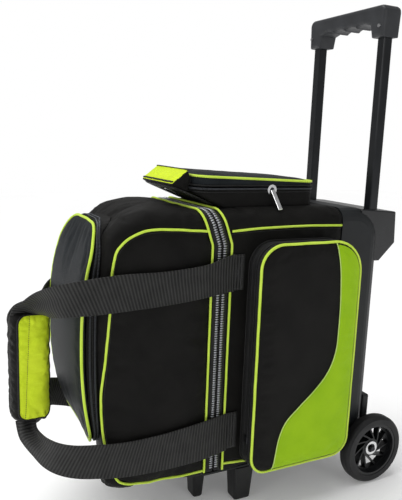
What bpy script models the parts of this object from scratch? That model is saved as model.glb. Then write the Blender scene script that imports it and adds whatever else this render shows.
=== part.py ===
"""A rolling bag for one bowling ball: a two-part fabric body on a moulded back with wheels and a trolley.

The bag is modelled with X across it, the front half towards -Y, the trolley at +Y and +Z up.
While it is built, X = 0 is the middle of the body and Y = 0 is the front edge of the rear half.
At the end everything is moved by ORIGIN_SHIFT, so that the middle of its box stands on the origin.
"""

import math

import bmesh
import bpy
from mathutils import Matrix, Vector

MM = 0.001
GAP = 0.3 * MM

# Driving dimensions.
ORIGIN_SHIFT = (-7.5 * MM, -31.5 * MM, 0.0)
HALF_WIDTH = 118 * MM
BOTTOM = 76 * MM
TOP = 556 * MM
EDGE_ROUND = 24 * MM
WALL = 5 * MM
REAR_DEPTH = 236 * MM
BACK = 331 * MM
FRONT_START = -30 * MM
FRONT_END = -226 * MM
LEAN = 20 * MM
LEAN_START = 500 * MM

TUBE_X = 95 * MM
TUBE_Y = 319.5 * MM
OUTER_TUBE = 23 * MM
INNER_TUBE = 19 * MM
OUTER_TUBE_WALL = 1.7 * MM
INNER_TUBE_WALL = 1.4 * MM
OUTER_TUBE_BOTTOM = 122 * MM
OUTER_TUBE_TOP = 547 * MM
INNER_TUBE_BOTTOM = 436 * MM
GRIP_BOTTOM = 865 * MM
GRIP_TOP = 921 * MM

WHEEL_X = 134 * MM
WHEEL_WIDTH = 28 * MM
WHEEL_Y = 338 * MM
WHEEL_RADIUS = 70 * MM
RIM_RADIUS = 54 * MM
SPOKE_FACE = 1 * MM
AXLE_RADIUS = 5 * MM
FOOT_TAPER = 4 * MM

SIDE_POCKET = (40 * MM, 250 * MM, 92 * MM, 502 * MM)
SIDE_POCKET_MOUTH = 151 * MM
SIDE_POCKET_FACE = 163 * MM
TOP_POCKET_HALF = 86 * MM
TOP_POCKET_SPLIT = 592 * MM
TOP_POCKET_FRONT = -48 * MM
TOP_POCKET_BACK = 196 * MM
FRONT_POCKET_HALF = 106 * MM
FRONT_POCKET_LOW = 172 * MM
FRONT_POCKET_HIGH = 545 * MM
FRONT_POCKET_MOUTH = -243 * MM
FRONT_POCKET_FACE = -252 * MM

STRAP_AXIS = (124 * MM, 2 * MM)
STRAP_THICKNESS = 2.5 * MM
FRONT_HINGE = (-29 * MM, 78 * MM)
HANDLE_HINGE = (-8 * MM, 560 * MM)
HANDLE_TILT = math.radians(22)

NEAR = 1
FAR = -1
SIDES = (("near", NEAR), ("far", FAR))


# Scene and materials.

for old in list(bpy.data.objects):
    bpy.data.objects.remove(old, do_unlink=True)

scene = bpy.context.scene
PARTS = bpy.data.collections.new("bowling_ball_bag")
CUTTERS = bpy.data.collections.new("cutters")
scene.collection.children.link(PARTS)
scene.collection.children.link(CUTTERS)


def material(name, colour, roughness, metallic=0.0):
    made = bpy.data.materials.new(name)
    made.use_nodes = True
    shader = made.node_tree.nodes["Principled BSDF"]
    shader.inputs["Base Color"].default_value = (*colour, 1.0)
    shader.inputs["Roughness"].default_value = roughness
    shader.inputs["Metallic"].default_value = metallic
    made.diffuse_color = (*colour, 1.0)
    return made


BLACK_FABRIC = material("black_fabric", (0.018, 0.017, 0.018), 0.8)
LIME_FABRIC = material("lime_fabric", (0.36, 0.62, 0.03), 0.65)
WEBBING = material("webbing", (0.012, 0.012, 0.013), 0.75)
ZIPPER_TAPE = material("zipper_tape", (0.02, 0.02, 0.022), 0.7)
BACK_PLASTIC = material("back_plastic", (0.02, 0.02, 0.021), 0.42)
GLOSS_PLASTIC = material("gloss_plastic", (0.015, 0.015, 0.016), 0.22)
GRIP_PLASTIC = material("grip_plastic", (0.03, 0.03, 0.032), 0.4)
TUBE_METAL = material("tube_metal", (0.05, 0.052, 0.055), 0.35, 0.9)
BRIGHT_METAL = material("bright_metal", (0.75, 0.75, 0.74), 0.2, 1.0)
STEEL = material("steel", (0.5, 0.5, 0.5), 0.35, 1.0)
TYRE_RUBBER = material("tyre_rubber", (0.016, 0.016, 0.016), 0.65)
BOARD = material("board", (0.05, 0.05, 0.05), 0.7)
FOAM = material("foam", (0.04, 0.04, 0.042), 0.9)
RUBBER = material("rubber", (0.014, 0.014, 0.014), 0.6)


# Builders.


def empty(name, location, parent=None):
    made = bpy.data.objects.new(name, None)
    made.location = location
    PARTS.objects.link(made)
    if parent is not None:
        made.parent = parent
    bpy.context.view_layer.update()
    return made


def place(obj, parent):
    """Parent a piece and leave it where it is."""
    bpy.context.view_layer.update()
    obj.parent = parent
    obj.matrix_parent_inverse = parent.matrix_world.inverted()
    return obj


def face_outwards(shape):
    shape.normal_update()
    bmesh.ops.recalc_face_normals(shape, faces=shape.faces)
    shape.normal_update()
    centre = sum((v.co for v in shape.verts), Vector()) / len(shape.verts)
    outward = sum(f.calc_area() * f.normal.dot(f.calc_center_median() - centre) for f in shape.faces)
    if outward < 0:
        bmesh.ops.reverse_faces(shape, faces=shape.faces)


def mesh_object(name, shape, look, parent):
    data = bpy.data.meshes.new(name)
    face_outwards(shape)
    shape.to_mesh(data)
    shape.free()
    obj = bpy.data.objects.new(name, data)
    if look is None:
        CUTTERS.objects.link(obj)
        obj.hide_render = True
        obj.display_type = "WIRE"
        return place(obj, ROOT)
    PARTS.objects.link(obj)
    data.materials.append(look)
    data.shade_smooth()
    data.set_sharp_from_angle(angle=math.radians(35))
    return place(obj, parent)


def cube(low, high):
    shape = bmesh.new()
    bmesh.ops.create_cube(shape, size=1.0)
    size = Vector(high) - Vector(low)
    middle = (Vector(high) + Vector(low)) / 2
    fitted = Matrix.Translation(middle) @ Matrix.Diagonal((*size, 1))
    bmesh.ops.transform(shape, matrix=fitted, verts=shape.verts)
    return shape


def along(edge, axis):
    direction = (edge.verts[1].co - edge.verts[0].co).normalized()
    return abs(direction[axis]) > 0.99


def bevel(shape, chosen, width, segments):
    bmesh.ops.bevel(
        shape,
        geom=list(chosen),
        offset=width,
        segments=segments,
        profile=0.5,
        affect="EDGES",
        clamp_overlap=True,
    )


def block(name, low, high, look, parent=None, rounding=0.0, segments=2):
    shape = cube(low, high)
    if rounding:
        bevel(shape, shape.edges, rounding, segments)
    return mesh_object(name, shape, look, parent)


def rounded_outline(corners, steps=5):
    """Points of a closed outline whose corners, each (x, y, radius), are turned into arcs."""
    points = []
    count = len(corners)
    for i, (x, y, radius) in enumerate(corners):
        here = Vector((x, y))
        before = (Vector(corners[i - 1][:2]) - here).normalized()
        after = (Vector(corners[(i + 1) % count][:2]) - here).normalized()
        if radius == 0:
            points.append(here)
            continue
        half = before.angle(after) / 2
        centre = here + (before + after).normalized() * (radius / math.sin(half))
        start = here + before * (radius / math.tan(half)) - centre
        end = here + after * (radius / math.tan(half)) - centre
        turn = start.angle_signed(end)
        for step in range(steps + 1):
            arm = start.copy()
            arm.rotate(Matrix.Rotation(-turn * step / steps, 2))
            points.append(centre + arm)
    return points


AXIS_TURN = {
    "X": Matrix(((0, 0, 1), (1, 0, 0), (0, 1, 0))),
    "Y": Matrix(((1, 0, 0), (0, 0, -1), (0, 1, 0))),
    "Z": Matrix.Identity(3),
}


def slab_shape(outlines, axis, low, high):
    """Flat outlines extruded from low to high along an axis; each outline after the first is a hole.

    Outlines lie in YZ for axis X, in XZ for axis Y and in XY for axis Z.
    """
    curve = bpy.data.curves.new("outline", "CURVE")
    curve.dimensions = "2D"
    curve.fill_mode = "BOTH"
    curve.extrude = (high - low) / 2
    for outline in outlines:
        spline = curve.splines.new("POLY")
        spline.points.add(len(outline) - 1)
        spline.use_cyclic_u = True
        for point, (x, y) in zip(spline.points, outline):
            point.co = (x, y, 0, 1)
    obj = bpy.data.objects.new("outline", curve)
    CUTTERS.objects.link(obj)
    middle = (low + high) / 2
    offset = {"X": (middle, 0, 0), "Y": (0, middle, 0), "Z": (0, 0, middle)}[axis]
    shape = evaluated_shape(obj, Matrix.Translation(offset) @ AXIS_TURN[axis].to_4x4())
    bpy.data.objects.remove(obj, do_unlink=True)
    return shape


def bevel_ends(shape, rounding, segments):
    """Round the edges around the two flat ends of an extruded outline."""
    ends = [e for e in shape.edges if len(e.link_faces) == 2 and e.calc_face_angle(0) > math.radians(60)]
    bevel(shape, ends, rounding, segments)


def slab(name, outlines, axis, low, high, look, parent=None, rounding=0.0, segments=2):
    shape = slab_shape(outlines, axis, low, high)
    if rounding:
        bevel_ends(shape, rounding, segments)
    return mesh_object(name, shape, look, parent)


def inset_corners(corners, inset):
    """The corners of a rectangle moved inwards, with their radii made smaller to match."""
    middle_x = sum(x for x, _, _ in corners) / len(corners)
    middle_y = sum(y for _, y, _ in corners) / len(corners)
    return [
        (x + math.copysign(inset, middle_x - x), y + math.copysign(inset, middle_y - y), radius - inset)
        for x, y, radius in corners
    ]


def inset_outline(outline, inset):
    """An anticlockwise outline moved inwards, edge by edge."""
    moved = []
    for i, corner in enumerate(outline):
        before = Vector(outline[i - 1])
        here = Vector(corner)
        after = Vector(outline[(i + 1) % len(outline)])
        first = (here - before).normalized()
        second = (after - here).normalized()
        inwards = Vector((-first.y - second.y, first.x + second.x)).normalized()
        moved.append(here + inwards * inset / max(inwards.dot(Vector((-first.y, first.x))), 0.3))
    return moved


def pillow_shape(outline_at, axis, low, high, rounding, segments):
    """An outline extruded along an axis, lofted so that the edges of both ends are round."""
    quarter = [math.pi / 2 * step / segments for step in range(segments + 1)]
    stations = [(low + rounding * (1 - math.cos(a)), rounding * (1 - math.sin(a))) for a in quarter]
    stations += [(low + high - w, inset) for w, inset in reversed(stations)]
    shape = bmesh.new()
    turn = AXIS_TURN[axis]
    rings = []
    for w, inset in stations:
        rings.append([shape.verts.new(turn @ Vector((x, y, w))) for x, y in outline_at(inset)])
    count = len(rings[0])
    for ring, following in zip(rings, rings[1:]):
        for i in range(count):
            j = (i + 1) % count
            shape.faces.new((ring[i], ring[j], following[j], following[i]))
    shape.faces.new(rings[0])
    shape.faces.new(rings[-1])
    return shape


def rounded_rectangle(corners, arc_steps=6):
    """The outline of a rounded rectangle as a function of its inset."""
    return lambda inset: rounded_outline(inset_corners(corners, inset), arc_steps)


def pillow(name, outline_at, axis, low, high, rounding, look, parent=None, segments=2):
    shape = pillow_shape(outline_at, axis, low, high, rounding, segments)
    return mesh_object(name, shape, look, parent)


def evaluated_shape(obj, matrix):
    """The evaluated object as a bmesh with its loose caps welded, moved by a matrix."""
    bpy.context.view_layer.update()
    data = bpy.data.meshes.new_from_object(obj.evaluated_get(bpy.context.evaluated_depsgraph_get()))
    shape = bmesh.new()
    shape.from_mesh(data)
    bpy.data.meshes.remove(data)
    bmesh.ops.remove_doubles(shape, verts=shape.verts, dist=1e-6)
    bmesh.ops.dissolve_limit(shape, angle_limit=math.radians(1), verts=shape.verts, edges=shape.edges)
    shape.transform(matrix)
    return shape


def turned(name, profile, x, y, z, look, parent, steps=48):
    """A profile of (radius, offset along X), closed or ending on the axis, turned about a line along X."""
    shape = bmesh.new()
    verts = [shape.verts.new((0, radius, offset)) for radius, offset in profile]
    sides = [(verts[i - 1], verts[i]) for i in range(len(verts))]
    edges = [shape.edges.new(side) for side in sides if side[0].co.y or side[1].co.y]
    bmesh.ops.spin(
        shape,
        geom=verts + edges,
        cent=(0, 0, 0),
        axis=(0, 0, 1),
        angle=math.tau,
        steps=steps,
        use_merge=True,
    )
    bmesh.ops.remove_doubles(shape, verts=shape.verts, dist=1e-6)
    turn = Matrix(((0, 0, 1, 0), (1, 0, 0, 0), (0, 1, 0, 0), (0, 0, 0, 1)))
    bmesh.ops.transform(shape, matrix=Matrix.Translation((x, y, z)) @ turn, verts=shape.verts)
    return mesh_object(name, shape, look, parent)


def wire(name, points, radius, look, parent, resolution=2):
    """A round bar along a chain of points."""
    curve = bpy.data.curves.new(name, "CURVE")
    curve.dimensions = "3D"
    curve.bevel_depth = radius
    curve.bevel_resolution = resolution
    curve.use_fill_caps = True
    spline = curve.splines.new("POLY")
    spline.points.add(len(points) - 1)
    for point, place_at in zip(spline.points, points):
        point.co = (*place_at, 1)
    obj = bpy.data.objects.new(name, curve)
    PARTS.objects.link(obj)
    curve.materials.append(look)
    return place(obj, parent)


def cut(obj, cutter):
    boolean = obj.modifiers.new("cut_" + cutter.name, "BOOLEAN")
    boolean.operation = "DIFFERENCE"
    boolean.solver = "EXACT"
    boolean.object = cutter
    return obj


def join(obj, other):
    boolean = obj.modifiers.new("join_" + other.name, "BOOLEAN")
    boolean.operation = "UNION"
    boolean.solver = "EXACT"
    boolean.object = other
    return obj


def mirrored(low, high, side):
    """A box given for the near side, on either side."""
    xs = sorted((low[0] * side, high[0] * side))
    return (xs[0], *low[1:]), (xs[1], *high[1:])


def leaning(shape, edge_y, reach):
    """Lean the opening's edge forwards above LEAN_START, as the seam runs over the top of the bag."""
    for vert in shape.verts:
        near_edge = 1 - min(abs(vert.co.y - edge_y) / reach, 1.0)
        rise = min(max((vert.co.z - LEAN_START) / (TOP - LEAN_START), 0.0), 1.0)
        vert.co.y -= LEAN * rise * near_edge


def body_tube(name, y_low, y_high, inset, wall, look, parent, open_bottom=False):
    """A tube along Y with the bag's rounded section, inset from its outside."""
    low = (-HALF_WIDTH + inset, y_low, BOTTOM + inset)
    high = (HALF_WIDTH - inset, y_high, TOP - inset)
    shape = cube(low, high)
    bevel(shape, [e for e in shape.edges if along(e, 1)], EDGE_ROUND - inset, 5)
    bmesh.ops.delete(shape, geom=[f for f in shape.faces if abs(f.normal.y) > 0.9], context="FACES_ONLY")
    if open_bottom:
        low_faces = [f for f in shape.faces if f.calc_center_median().z < BOTTOM + EDGE_ROUND]
        bmesh.ops.delete(shape, geom=low_faces, context="FACES")
    slice_z(shape, LEAN_START)
    obj = mesh_object(name, shape, look, parent)
    thicken(obj, wall)
    return obj


def slice_z(shape, height):
    everything = list(shape.verts) + list(shape.edges) + list(shape.faces)
    bmesh.ops.bisect_plane(shape, geom=everything, plane_co=(0, 0, height), plane_no=(0, 0, 1))


def thicken(obj, wall):
    solid = obj.modifiers.new("wall", "SOLIDIFY")
    solid.thickness = wall
    solid.offset = -1
    solid.use_even_offset = True
    return obj


# Frame of the model: the root and one empty on each joint's axis.

ROOT = empty("bag", (0, 0, 0))
TROLLEY = empty("trolley_slide_axis", (0, TUBE_Y, OUTER_TUBE_TOP), ROOT)
BUTTON = empty("button_slide_axis", (0, TUBE_Y, GRIP_TOP), TROLLEY)
BUTTON.location = (0, 0, GRIP_TOP - OUTER_TUBE_TOP)
FRONT = empty("front_half_hinge_axis", (0, *FRONT_HINGE), ROOT)
FRONT_DOOR = empty("front_pocket_hinge_axis", (0, 0, 0), FRONT)
FRONT_DOOR.location = (0, FRONT_POCKET_MOUTH - FRONT_HINGE[0], FRONT_POCKET_LOW - FRONT_HINGE[1])
SIDE_LID = empty("side_pocket_hinge_axis", (SIDE_POCKET_MOUTH, 0, SIDE_POCKET[2]), ROOT)
TOP_LID = empty("top_pocket_hinge_axis", (0, TOP_POCKET_BACK, TOP_POCKET_SPLIT), ROOT)
TOP_HANDLE = empty("top_handle_hinge_axis", (0, *HANDLE_HINGE), ROOT)
bpy.context.view_layer.update()


# Body: the fabric rear half and the moulded back behind it.


def rear_shell():
    shell = body_tube("rear_shell", 0, REAR_DEPTH - GAP, 0, WALL, BLACK_FABRIC, ROOT)
    shape = bmesh.new()
    shape.from_mesh(shell.data)
    leaning(shape, 0, REAR_DEPTH / 2)
    shape.to_mesh(shell.data)
    shape.free()


def rounded_half(corners, trim_y, keep, grow, closed=True):
    """A YZ outline across the bag with rounded sides, trimmed flat where the two halves of the bag meet."""
    half = HALF_WIDTH + grow
    shape = pillow_shape(rounded_rectangle(corners), "X", -half, half, EDGE_ROUND + grow, 5)
    everything = list(shape.verts) + list(shape.edges) + list(shape.faces)
    cut_edges = bmesh.ops.bisect_plane(
        shape, geom=everything, plane_co=(0, trim_y, 0), plane_no=(0, -keep, 0), clear_outer=True
    )["geom_cut"]
    if closed:
        bmesh.ops.edgeloop_fill(shape, edges=[e for e in cut_edges if isinstance(e, bmesh.types.BMEdge)])
    return shape


def back_corners(grow):
    start = REAR_DEPTH - 80 * MM
    low = BOTTOM - grow
    high = TOP + grow
    back = BACK + grow
    radius = 40 * MM
    return [
        (start, low, radius),
        (back, low, 55 * MM + grow),
        (back, high, 62 * MM + grow),
        (start, high, radius),
    ]


def front_corners(grow):
    start = FRONT_START + 80 * MM
    low = BOTTOM - grow
    high = TOP + grow
    ahead = FRONT_END - grow
    radius = 40 * MM
    return [
        (start, low, radius),
        (start, high, radius),
        (ahead, high, 66 * MM + grow),
        (ahead, low, 58 * MM + grow),
    ]


def back_envelope(name, grow):
    """The outside of the moulded back as a solid, to fit pieces against."""
    shape = rounded_half(back_corners(grow), REAR_DEPTH - 30 * MM, 1, grow)
    return mesh_object(name, shape, None, None)


def tube_channel(name, side, margin, z_low, z_high):
    half = OUTER_TUBE / 2 + margin
    low = (side * TUBE_X - half, TUBE_Y - half, z_low)
    high = (side * TUBE_X + half, TUBE_Y + 60 * MM, z_high)
    return block(name, low, high, None)


def back_shell():
    shape = rounded_half(back_corners(0), REAR_DEPTH, 1, 0)
    shell = mesh_object("back_shell", shape, BACK_PLASTIC, ROOT)
    wall = 3.5 * MM
    shoulder = TUBE_X - OUTER_TUBE / 2 - 6 * MM
    inner_back = TUBE_Y - OUTER_TUBE / 2 - 6 * MM
    front = REAR_DEPTH - 5 * MM
    side = HALF_WIDTH - wall
    plan = rounded_outline(
        [
            (-side, front, 0),
            (side, front, 0),
            (side, inner_back, 18 * MM),
            (shoulder, inner_back, 0),
            (shoulder, BACK - wall, 0),
            (-shoulder, BACK - wall, 0),
            (-shoulder, inner_back, 0),
            (-side, inner_back, 18 * MM),
        ],
        3,
    )
    hollow = slab("back_hollow", [plan], "Z", BOTTOM + 50 * MM, TOP - 56 * MM, None)
    cut(shell, hollow)
    ends_low = (-100 * MM, front, BOTTOM + 8 * MM)
    ends_high = (100 * MM, 290 * MM, TOP - 8 * MM)
    cut(shell, block("back_hollow_ends", ends_low, ends_high, None))
    for word, sign in SIDES:
        cut(shell, tube_channel("back_channel_" + word, sign, 0.5 * MM, 0.05, 0.60))


def inner_boards():
    """The stiff board that divides the ball space from the trolley, the floor tray and the foam ball cup."""
    inside = HALF_WIDTH - WALL - 1.5 * MM
    outline = rounded_outline(
        [
            (-inside, BOTTOM + WALL + 1.5 * MM, 20 * MM),
            (inside, BOTTOM + WALL + 1.5 * MM, 20 * MM),
            (inside, TOP - WALL - 1.5 * MM, 20 * MM),
            (-inside, TOP - WALL - 1.5 * MM, 20 * MM),
        ]
    )
    slab("divider_board", [outline], "Y", 228 * MM, 231 * MM, BOARD, ROOT)
    tray_low = (-100 * MM, -24 * MM, BOTTOM - 5.5 * MM)
    tray_high = (100 * MM, 256 * MM, BOTTOM - GAP)
    block("base_tray", tray_low, tray_high, BACK_PLASTIC, ROOT, 2 * MM)
    cup = block("ball_cup", (-92 * MM, 22 * MM, 81.5 * MM), (92 * MM, 216 * MM, 142 * MM), FOAM, ROOT)
    ball = bmesh.new()
    bmesh.ops.create_uvsphere(ball, u_segments=32, v_segments=16, radius=109 * MM)
    bmesh.ops.translate(ball, vec=(0, 119 * MM, 199 * MM), verts=ball.verts)
    cut(cup, mesh_object("ball_space", ball, None, None))


# Front half: it hinges forwards at the floor.


def front_shell():
    shape = rounded_half(front_corners(0), FRONT_START, -1, 0, closed=False)
    slice_z(shape, LEAN_START)
    leaning(shape, FRONT_START, 100 * MM)
    thicken(mesh_object("front_shell", shape, BLACK_FABRIC, FRONT), WALL)


def zipper_tapes():
    """The two halves of the main zipper: tapes around the sides and the top of the opening."""
    for name, y_low, y_high, parent in (
        ("rear_zip_tape", -13 * MM, -0.8 * MM, ROOT),
        ("front_zip_tape", FRONT_START + 0.8 * MM, -15 * MM, FRONT),
    ):
        tape = body_tube(name, y_low, y_high, 0.5 * MM, 2 * MM, ZIPPER_TAPE, parent, open_bottom=True)
        shape = bmesh.new()
        shape.from_mesh(tape.data)
        leaning(shape, (y_low + y_high) / 2, 10.0)
        shape.to_mesh(tape.data)
        shape.free()
    block("hinge_strip", (-90 * MM, -26.5 * MM, 77 * MM), (90 * MM, -1 * MM, 79 * MM), BLACK_FABRIC, ROOT)


FRONT_POCKET_CORNERS = [
    (-FRONT_POCKET_HALF, FRONT_POCKET_LOW, 38 * MM),
    (FRONT_POCKET_HALF, FRONT_POCKET_LOW, 38 * MM),
    (FRONT_POCKET_HALF, FRONT_POCKET_HIGH, 58 * MM),
    (-FRONT_POCKET_HALF, FRONT_POCKET_HIGH, 58 * MM),
]
SIDE_POCKET_CORNERS = [
    (SIDE_POCKET[0], SIDE_POCKET[2], 30 * MM),
    (SIDE_POCKET[1], SIDE_POCKET[2], 34 * MM),
    (SIDE_POCKET[1], SIDE_POCKET[3], 58 * MM),
    (SIDE_POCKET[0], SIDE_POCKET[3], 42 * MM),
]
TOP_POCKET_CORNERS = [
    (-TOP_POCKET_HALF, TOP_POCKET_FRONT, 26 * MM),
    (TOP_POCKET_HALF, TOP_POCKET_FRONT, 26 * MM),
    (TOP_POCKET_HALF, TOP_POCKET_BACK, 26 * MM),
    (-TOP_POCKET_HALF, TOP_POCKET_BACK, 26 * MM),
]


def pocket_ring(corners, wall):
    """An outline and the hole inside it."""
    return [rounded_outline(corners, 6), rounded_outline(inset_corners(corners, wall), 6)]


def front_pocket():
    wall = 3 * MM
    gusset = slab(
        "front_pocket_gusset",
        pocket_ring(FRONT_POCKET_CORNERS, wall),
        "Y",
        FRONT_POCKET_MOUTH + GAP,
        FRONT_END - GAP + 55 * MM,
        ZIPPER_TAPE,
        FRONT,
    )
    cut(gusset, solid_front("front_half_outside", GAP))
    pillow(
        "front_pocket_panel",
        rounded_rectangle(FRONT_POCKET_CORNERS),
        "Y",
        -FRONT_POCKET_MOUTH,
        -FRONT_POCKET_FACE,
        4 * MM,
        BLACK_FABRIC,
        FRONT_DOOR,
    )


def solid_front(name, grow):
    """The outside of the front half as a solid, to fit pieces against."""
    shape = rounded_half(front_corners(grow), FRONT_START - 40 * MM, -1, grow)
    return mesh_object(name, shape, None, None)


# Side pocket and top pocket.


def side_pocket():
    wall = 3 * MM
    slab(
        "side_pocket_gusset",
        pocket_ring(SIDE_POCKET_CORNERS, wall),
        "X",
        HALF_WIDTH + GAP,
        SIDE_POCKET_MOUTH - GAP,
        BLACK_FABRIC,
        ROOT,
    )
    pillow(
        "side_pocket_lid",
        rounded_rectangle(SIDE_POCKET_CORNERS),
        "X",
        SIDE_POCKET_MOUTH,
        SIDE_POCKET_FACE,
        4 * MM,
        LIME_FABRIC,
        SIDE_LID,
    )


def under_tray(name, rise):
    """Everything below the slope that the front of the top pocket's tray is undercut to."""
    slope = [
        (-80 * MM, 530 * MM),
        (2 * MM, 530 * MM),
        (2 * MM, 557.5 * MM + rise),
        (-80 * MM, 598 * MM + rise),
    ]
    return slab(name, [slope], "X", -0.12, 0.12, None)


def top_pocket():
    """A tray with an undercut front, where it reaches over the zipper, and a lid with a sloping top."""
    plan, hollow = (rounded_outline(inset_corners(TOP_POCKET_CORNERS, wall), 4) for wall in (0, 3 * MM))
    tray = slab("top_pocket_tray", [plan], "Z", TOP + GAP, TOP_POCKET_SPLIT - GAP, BLACK_FABRIC, ROOT)
    space = slab("top_tray_hollow", [hollow], "Z", TOP + 5 * MM, TOP_POCKET_SPLIT + 10 * MM, None)
    cut(space, under_tray("top_tray_floor", 3 * MM))
    cut(tray, space)
    cut(tray, under_tray("top_tray_undercut", 0))
    lid = pillow(
        "top_pocket_lid",
        rounded_rectangle(TOP_POCKET_CORNERS),
        "Z",
        TOP_POCKET_SPLIT,
        620 * MM,
        5 * MM,
        BLACK_FABRIC,
        TOP_LID,
    )
    slope = [(-0.1, 617 * MM), (0.3, 596 * MM), (0.3, 660 * MM), (-0.1, 660 * MM)]
    cut(lid, slab("top_lid_slope", [slope], "X", -0.12, 0.12, None))
    plan = rounded_outline(inset_corners(TOP_POCKET_CORNERS, 8 * MM), 4)
    cut(lid, slab("top_lid_hollow", [plan], "Z", TOP_POCKET_SPLIT - 10 * MM, 597 * MM, None))


# Trolley: outer tubes fixed in the back, inner tubes and the grip that slide in them.


def square_ring(size, wall):
    outer = size / 2
    inner = outer - wall
    return [
        rounded_outline([(-s, -s, r), (s, -s, r), (s, s, r), (-s, s, r)], 2)
        for s, r in ((outer, 2.4 * MM), (inner, 1.2 * MM))
    ]


def shifted(outlines, x, y):
    return [[(px + x, py + y) for px, py in outline] for outline in outlines]


def trolley_tubes():
    for word, sign in SIDES:
        at = (sign * TUBE_X, TUBE_Y)
        rings = shifted(square_ring(OUTER_TUBE, OUTER_TUBE_WALL), *at)
        slab("outer_tube_" + word, rings, "Z", OUTER_TUBE_BOTTOM, OUTER_TUBE_TOP, TUBE_METAL, ROOT)
        rings = shifted(square_ring(INNER_TUBE, INNER_TUBE_WALL), *at)
        top = GRIP_BOTTOM + 12 * MM
        tube = slab("inner_tube_" + word, rings, "Z", INNER_TUBE_BOTTOM, top, TUBE_METAL, TROLLEY)
        hole_low, hole_high = mirrored(
            (TUBE_X - 12 * MM, TUBE_Y - 4 * MM, 456 * MM), (TUBE_X - 6 * MM, TUBE_Y + 4 * MM, 464 * MM), sign
        )
        cut(tube, block("pin_hole_" + word, hole_low, hole_high, None))


def tube_bore(name, sign, size, z_low, z_high):
    half = size / 2
    low = (sign * TUBE_X - half, TUBE_Y - half, z_low)
    high = (sign * TUBE_X + half, TUBE_Y + half, z_high)
    return block(name, low, high, None)


def handle_housing():
    profile = [
        (284 * MM, 553 * MM),
        (370 * MM, 546.5 * MM),
        (372 * MM, 486 * MM),
        (336 * MM, 452 * MM),
        (300 * MM, 452 * MM),
        (284 * MM, 500 * MM),
    ]
    housing = slab("handle_housing", [profile], "X", -112 * MM, 112 * MM, GLOSS_PLASTIC, ROOT, 2.5 * MM, 2)
    cut(housing, back_envelope("housing_seat", GAP))
    inside = ((-74 * MM, 300 * MM, 440 * MM), (74 * MM, 365 * MM, 541 * MM))
    cut(housing, block("housing_hollow", *inside, None))
    for word, sign in SIDES:
        top = OUTER_TUBE_TOP + GAP
        cut(housing, tube_bore("housing_bore_" + word, sign, OUTER_TUBE + 0.8 * MM, 0.44, top))
        cut(housing, tube_bore("housing_mouth_" + word, sign, INNER_TUBE + 1.0 * MM, 0.54, 0.57))
        foot_low, foot_high = mirrored(
            (82 * MM, BACK + 0.6 * MM, 116 * MM), (108 * MM, 347 * MM, 172 * MM), sign
        )
        foot = block("tube_foot_" + word, foot_low, foot_high, BACK_PLASTIC, ROOT, 3 * MM)
        cut(foot, tube_channel_shape("foot_seat_" + word, sign))


def tube_channel_shape(name, sign):
    half = OUTER_TUBE / 2 + GAP
    low = (sign * TUBE_X - half, TUBE_Y - half, OUTER_TUBE_BOTTOM - GAP)
    high = (sign * TUBE_X + half, TUBE_Y + half, 0.2)
    return block(name, low, high, None)


def grip_outline():
    """The grip seen from the front: two legs, and four finger scallops under the bar."""
    leg_out = 110 * MM
    leg_in = 78 * MM
    under = GRIP_TOP - 34 * MM
    foot = leg_out - 2.5 * MM
    points = [(-foot, GRIP_BOTTOM), (-leg_in, GRIP_BOTTOM), (-leg_in + 5 * MM, under)]
    for finger in range(4):
        left = -68 * MM + finger * 34 * MM
        for step in range(1, 6):
            angle = math.pi * step / 6
            points.append((left + 17 * MM - 15 * MM * math.cos(angle), under + 5 * MM * math.sin(angle)))
        points.append((left + 34 * MM, under))
    points[-1] = (leg_in - 5 * MM, under)
    points += [(leg_in, GRIP_BOTTOM), (foot, GRIP_BOTTOM)]
    for sign, turn in ((1, 0), (-1, math.pi / 2)):
        for step in range(5):
            angle = turn + math.pi / 2 * step / 4
            across = sign * (leg_out - 12 * MM) + 12 * MM * math.cos(angle)
            points.append((across, GRIP_TOP - 12 * MM + 12 * MM * math.sin(angle)))
    return points


def trolley_grip():
    grip = pillow(
        "trolley_grip",
        lambda inset: inset_outline(grip_outline(), inset),
        "Y",
        -342 * MM,
        -299 * MM,
        6.5 * MM,
        GRIP_PLASTIC,
        TROLLEY,
        3,
    )
    for word, sign in SIDES:
        top = GRIP_BOTTOM + 12.3 * MM
        cut(grip, tube_bore("grip_socket_" + word, sign, INNER_TUBE + 2 * GAP, 0.85, top))
        head = [(0.0, -1 * MM), (3.2 * MM, -1 * MM), (3.2 * MM, 1 * MM), (0.0, 1 * MM)]
        screw = turned("grip_screw_" + word, head, 0, 0, 0, STEEL, TROLLEY, 12)
        seat = Matrix.Translation((sign * 100 * MM, 297.6 * MM, 884 * MM))
        screw.data.transform(seat @ Matrix.Rotation(math.pi / 2, 4, "Z"))
    well = block("button_well", (-31 * MM, 308 * MM, GRIP_TOP - 14 * MM), (31 * MM, 333 * MM, 0.95), None)
    cut(grip, well)
    gallery_low = (-99 * MM, 314.5 * MM, GRIP_TOP - 26 * MM)
    gallery_high = (99 * MM, 324.5 * MM, 908 * MM)
    cut(grip, block("rod_gallery", gallery_low, gallery_high, None))
    for word, sign in SIDES:
        cut(grip, tube_bore("rod_hole_" + word, sign, 7 * MM, 0.86, 0.9))


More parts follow.
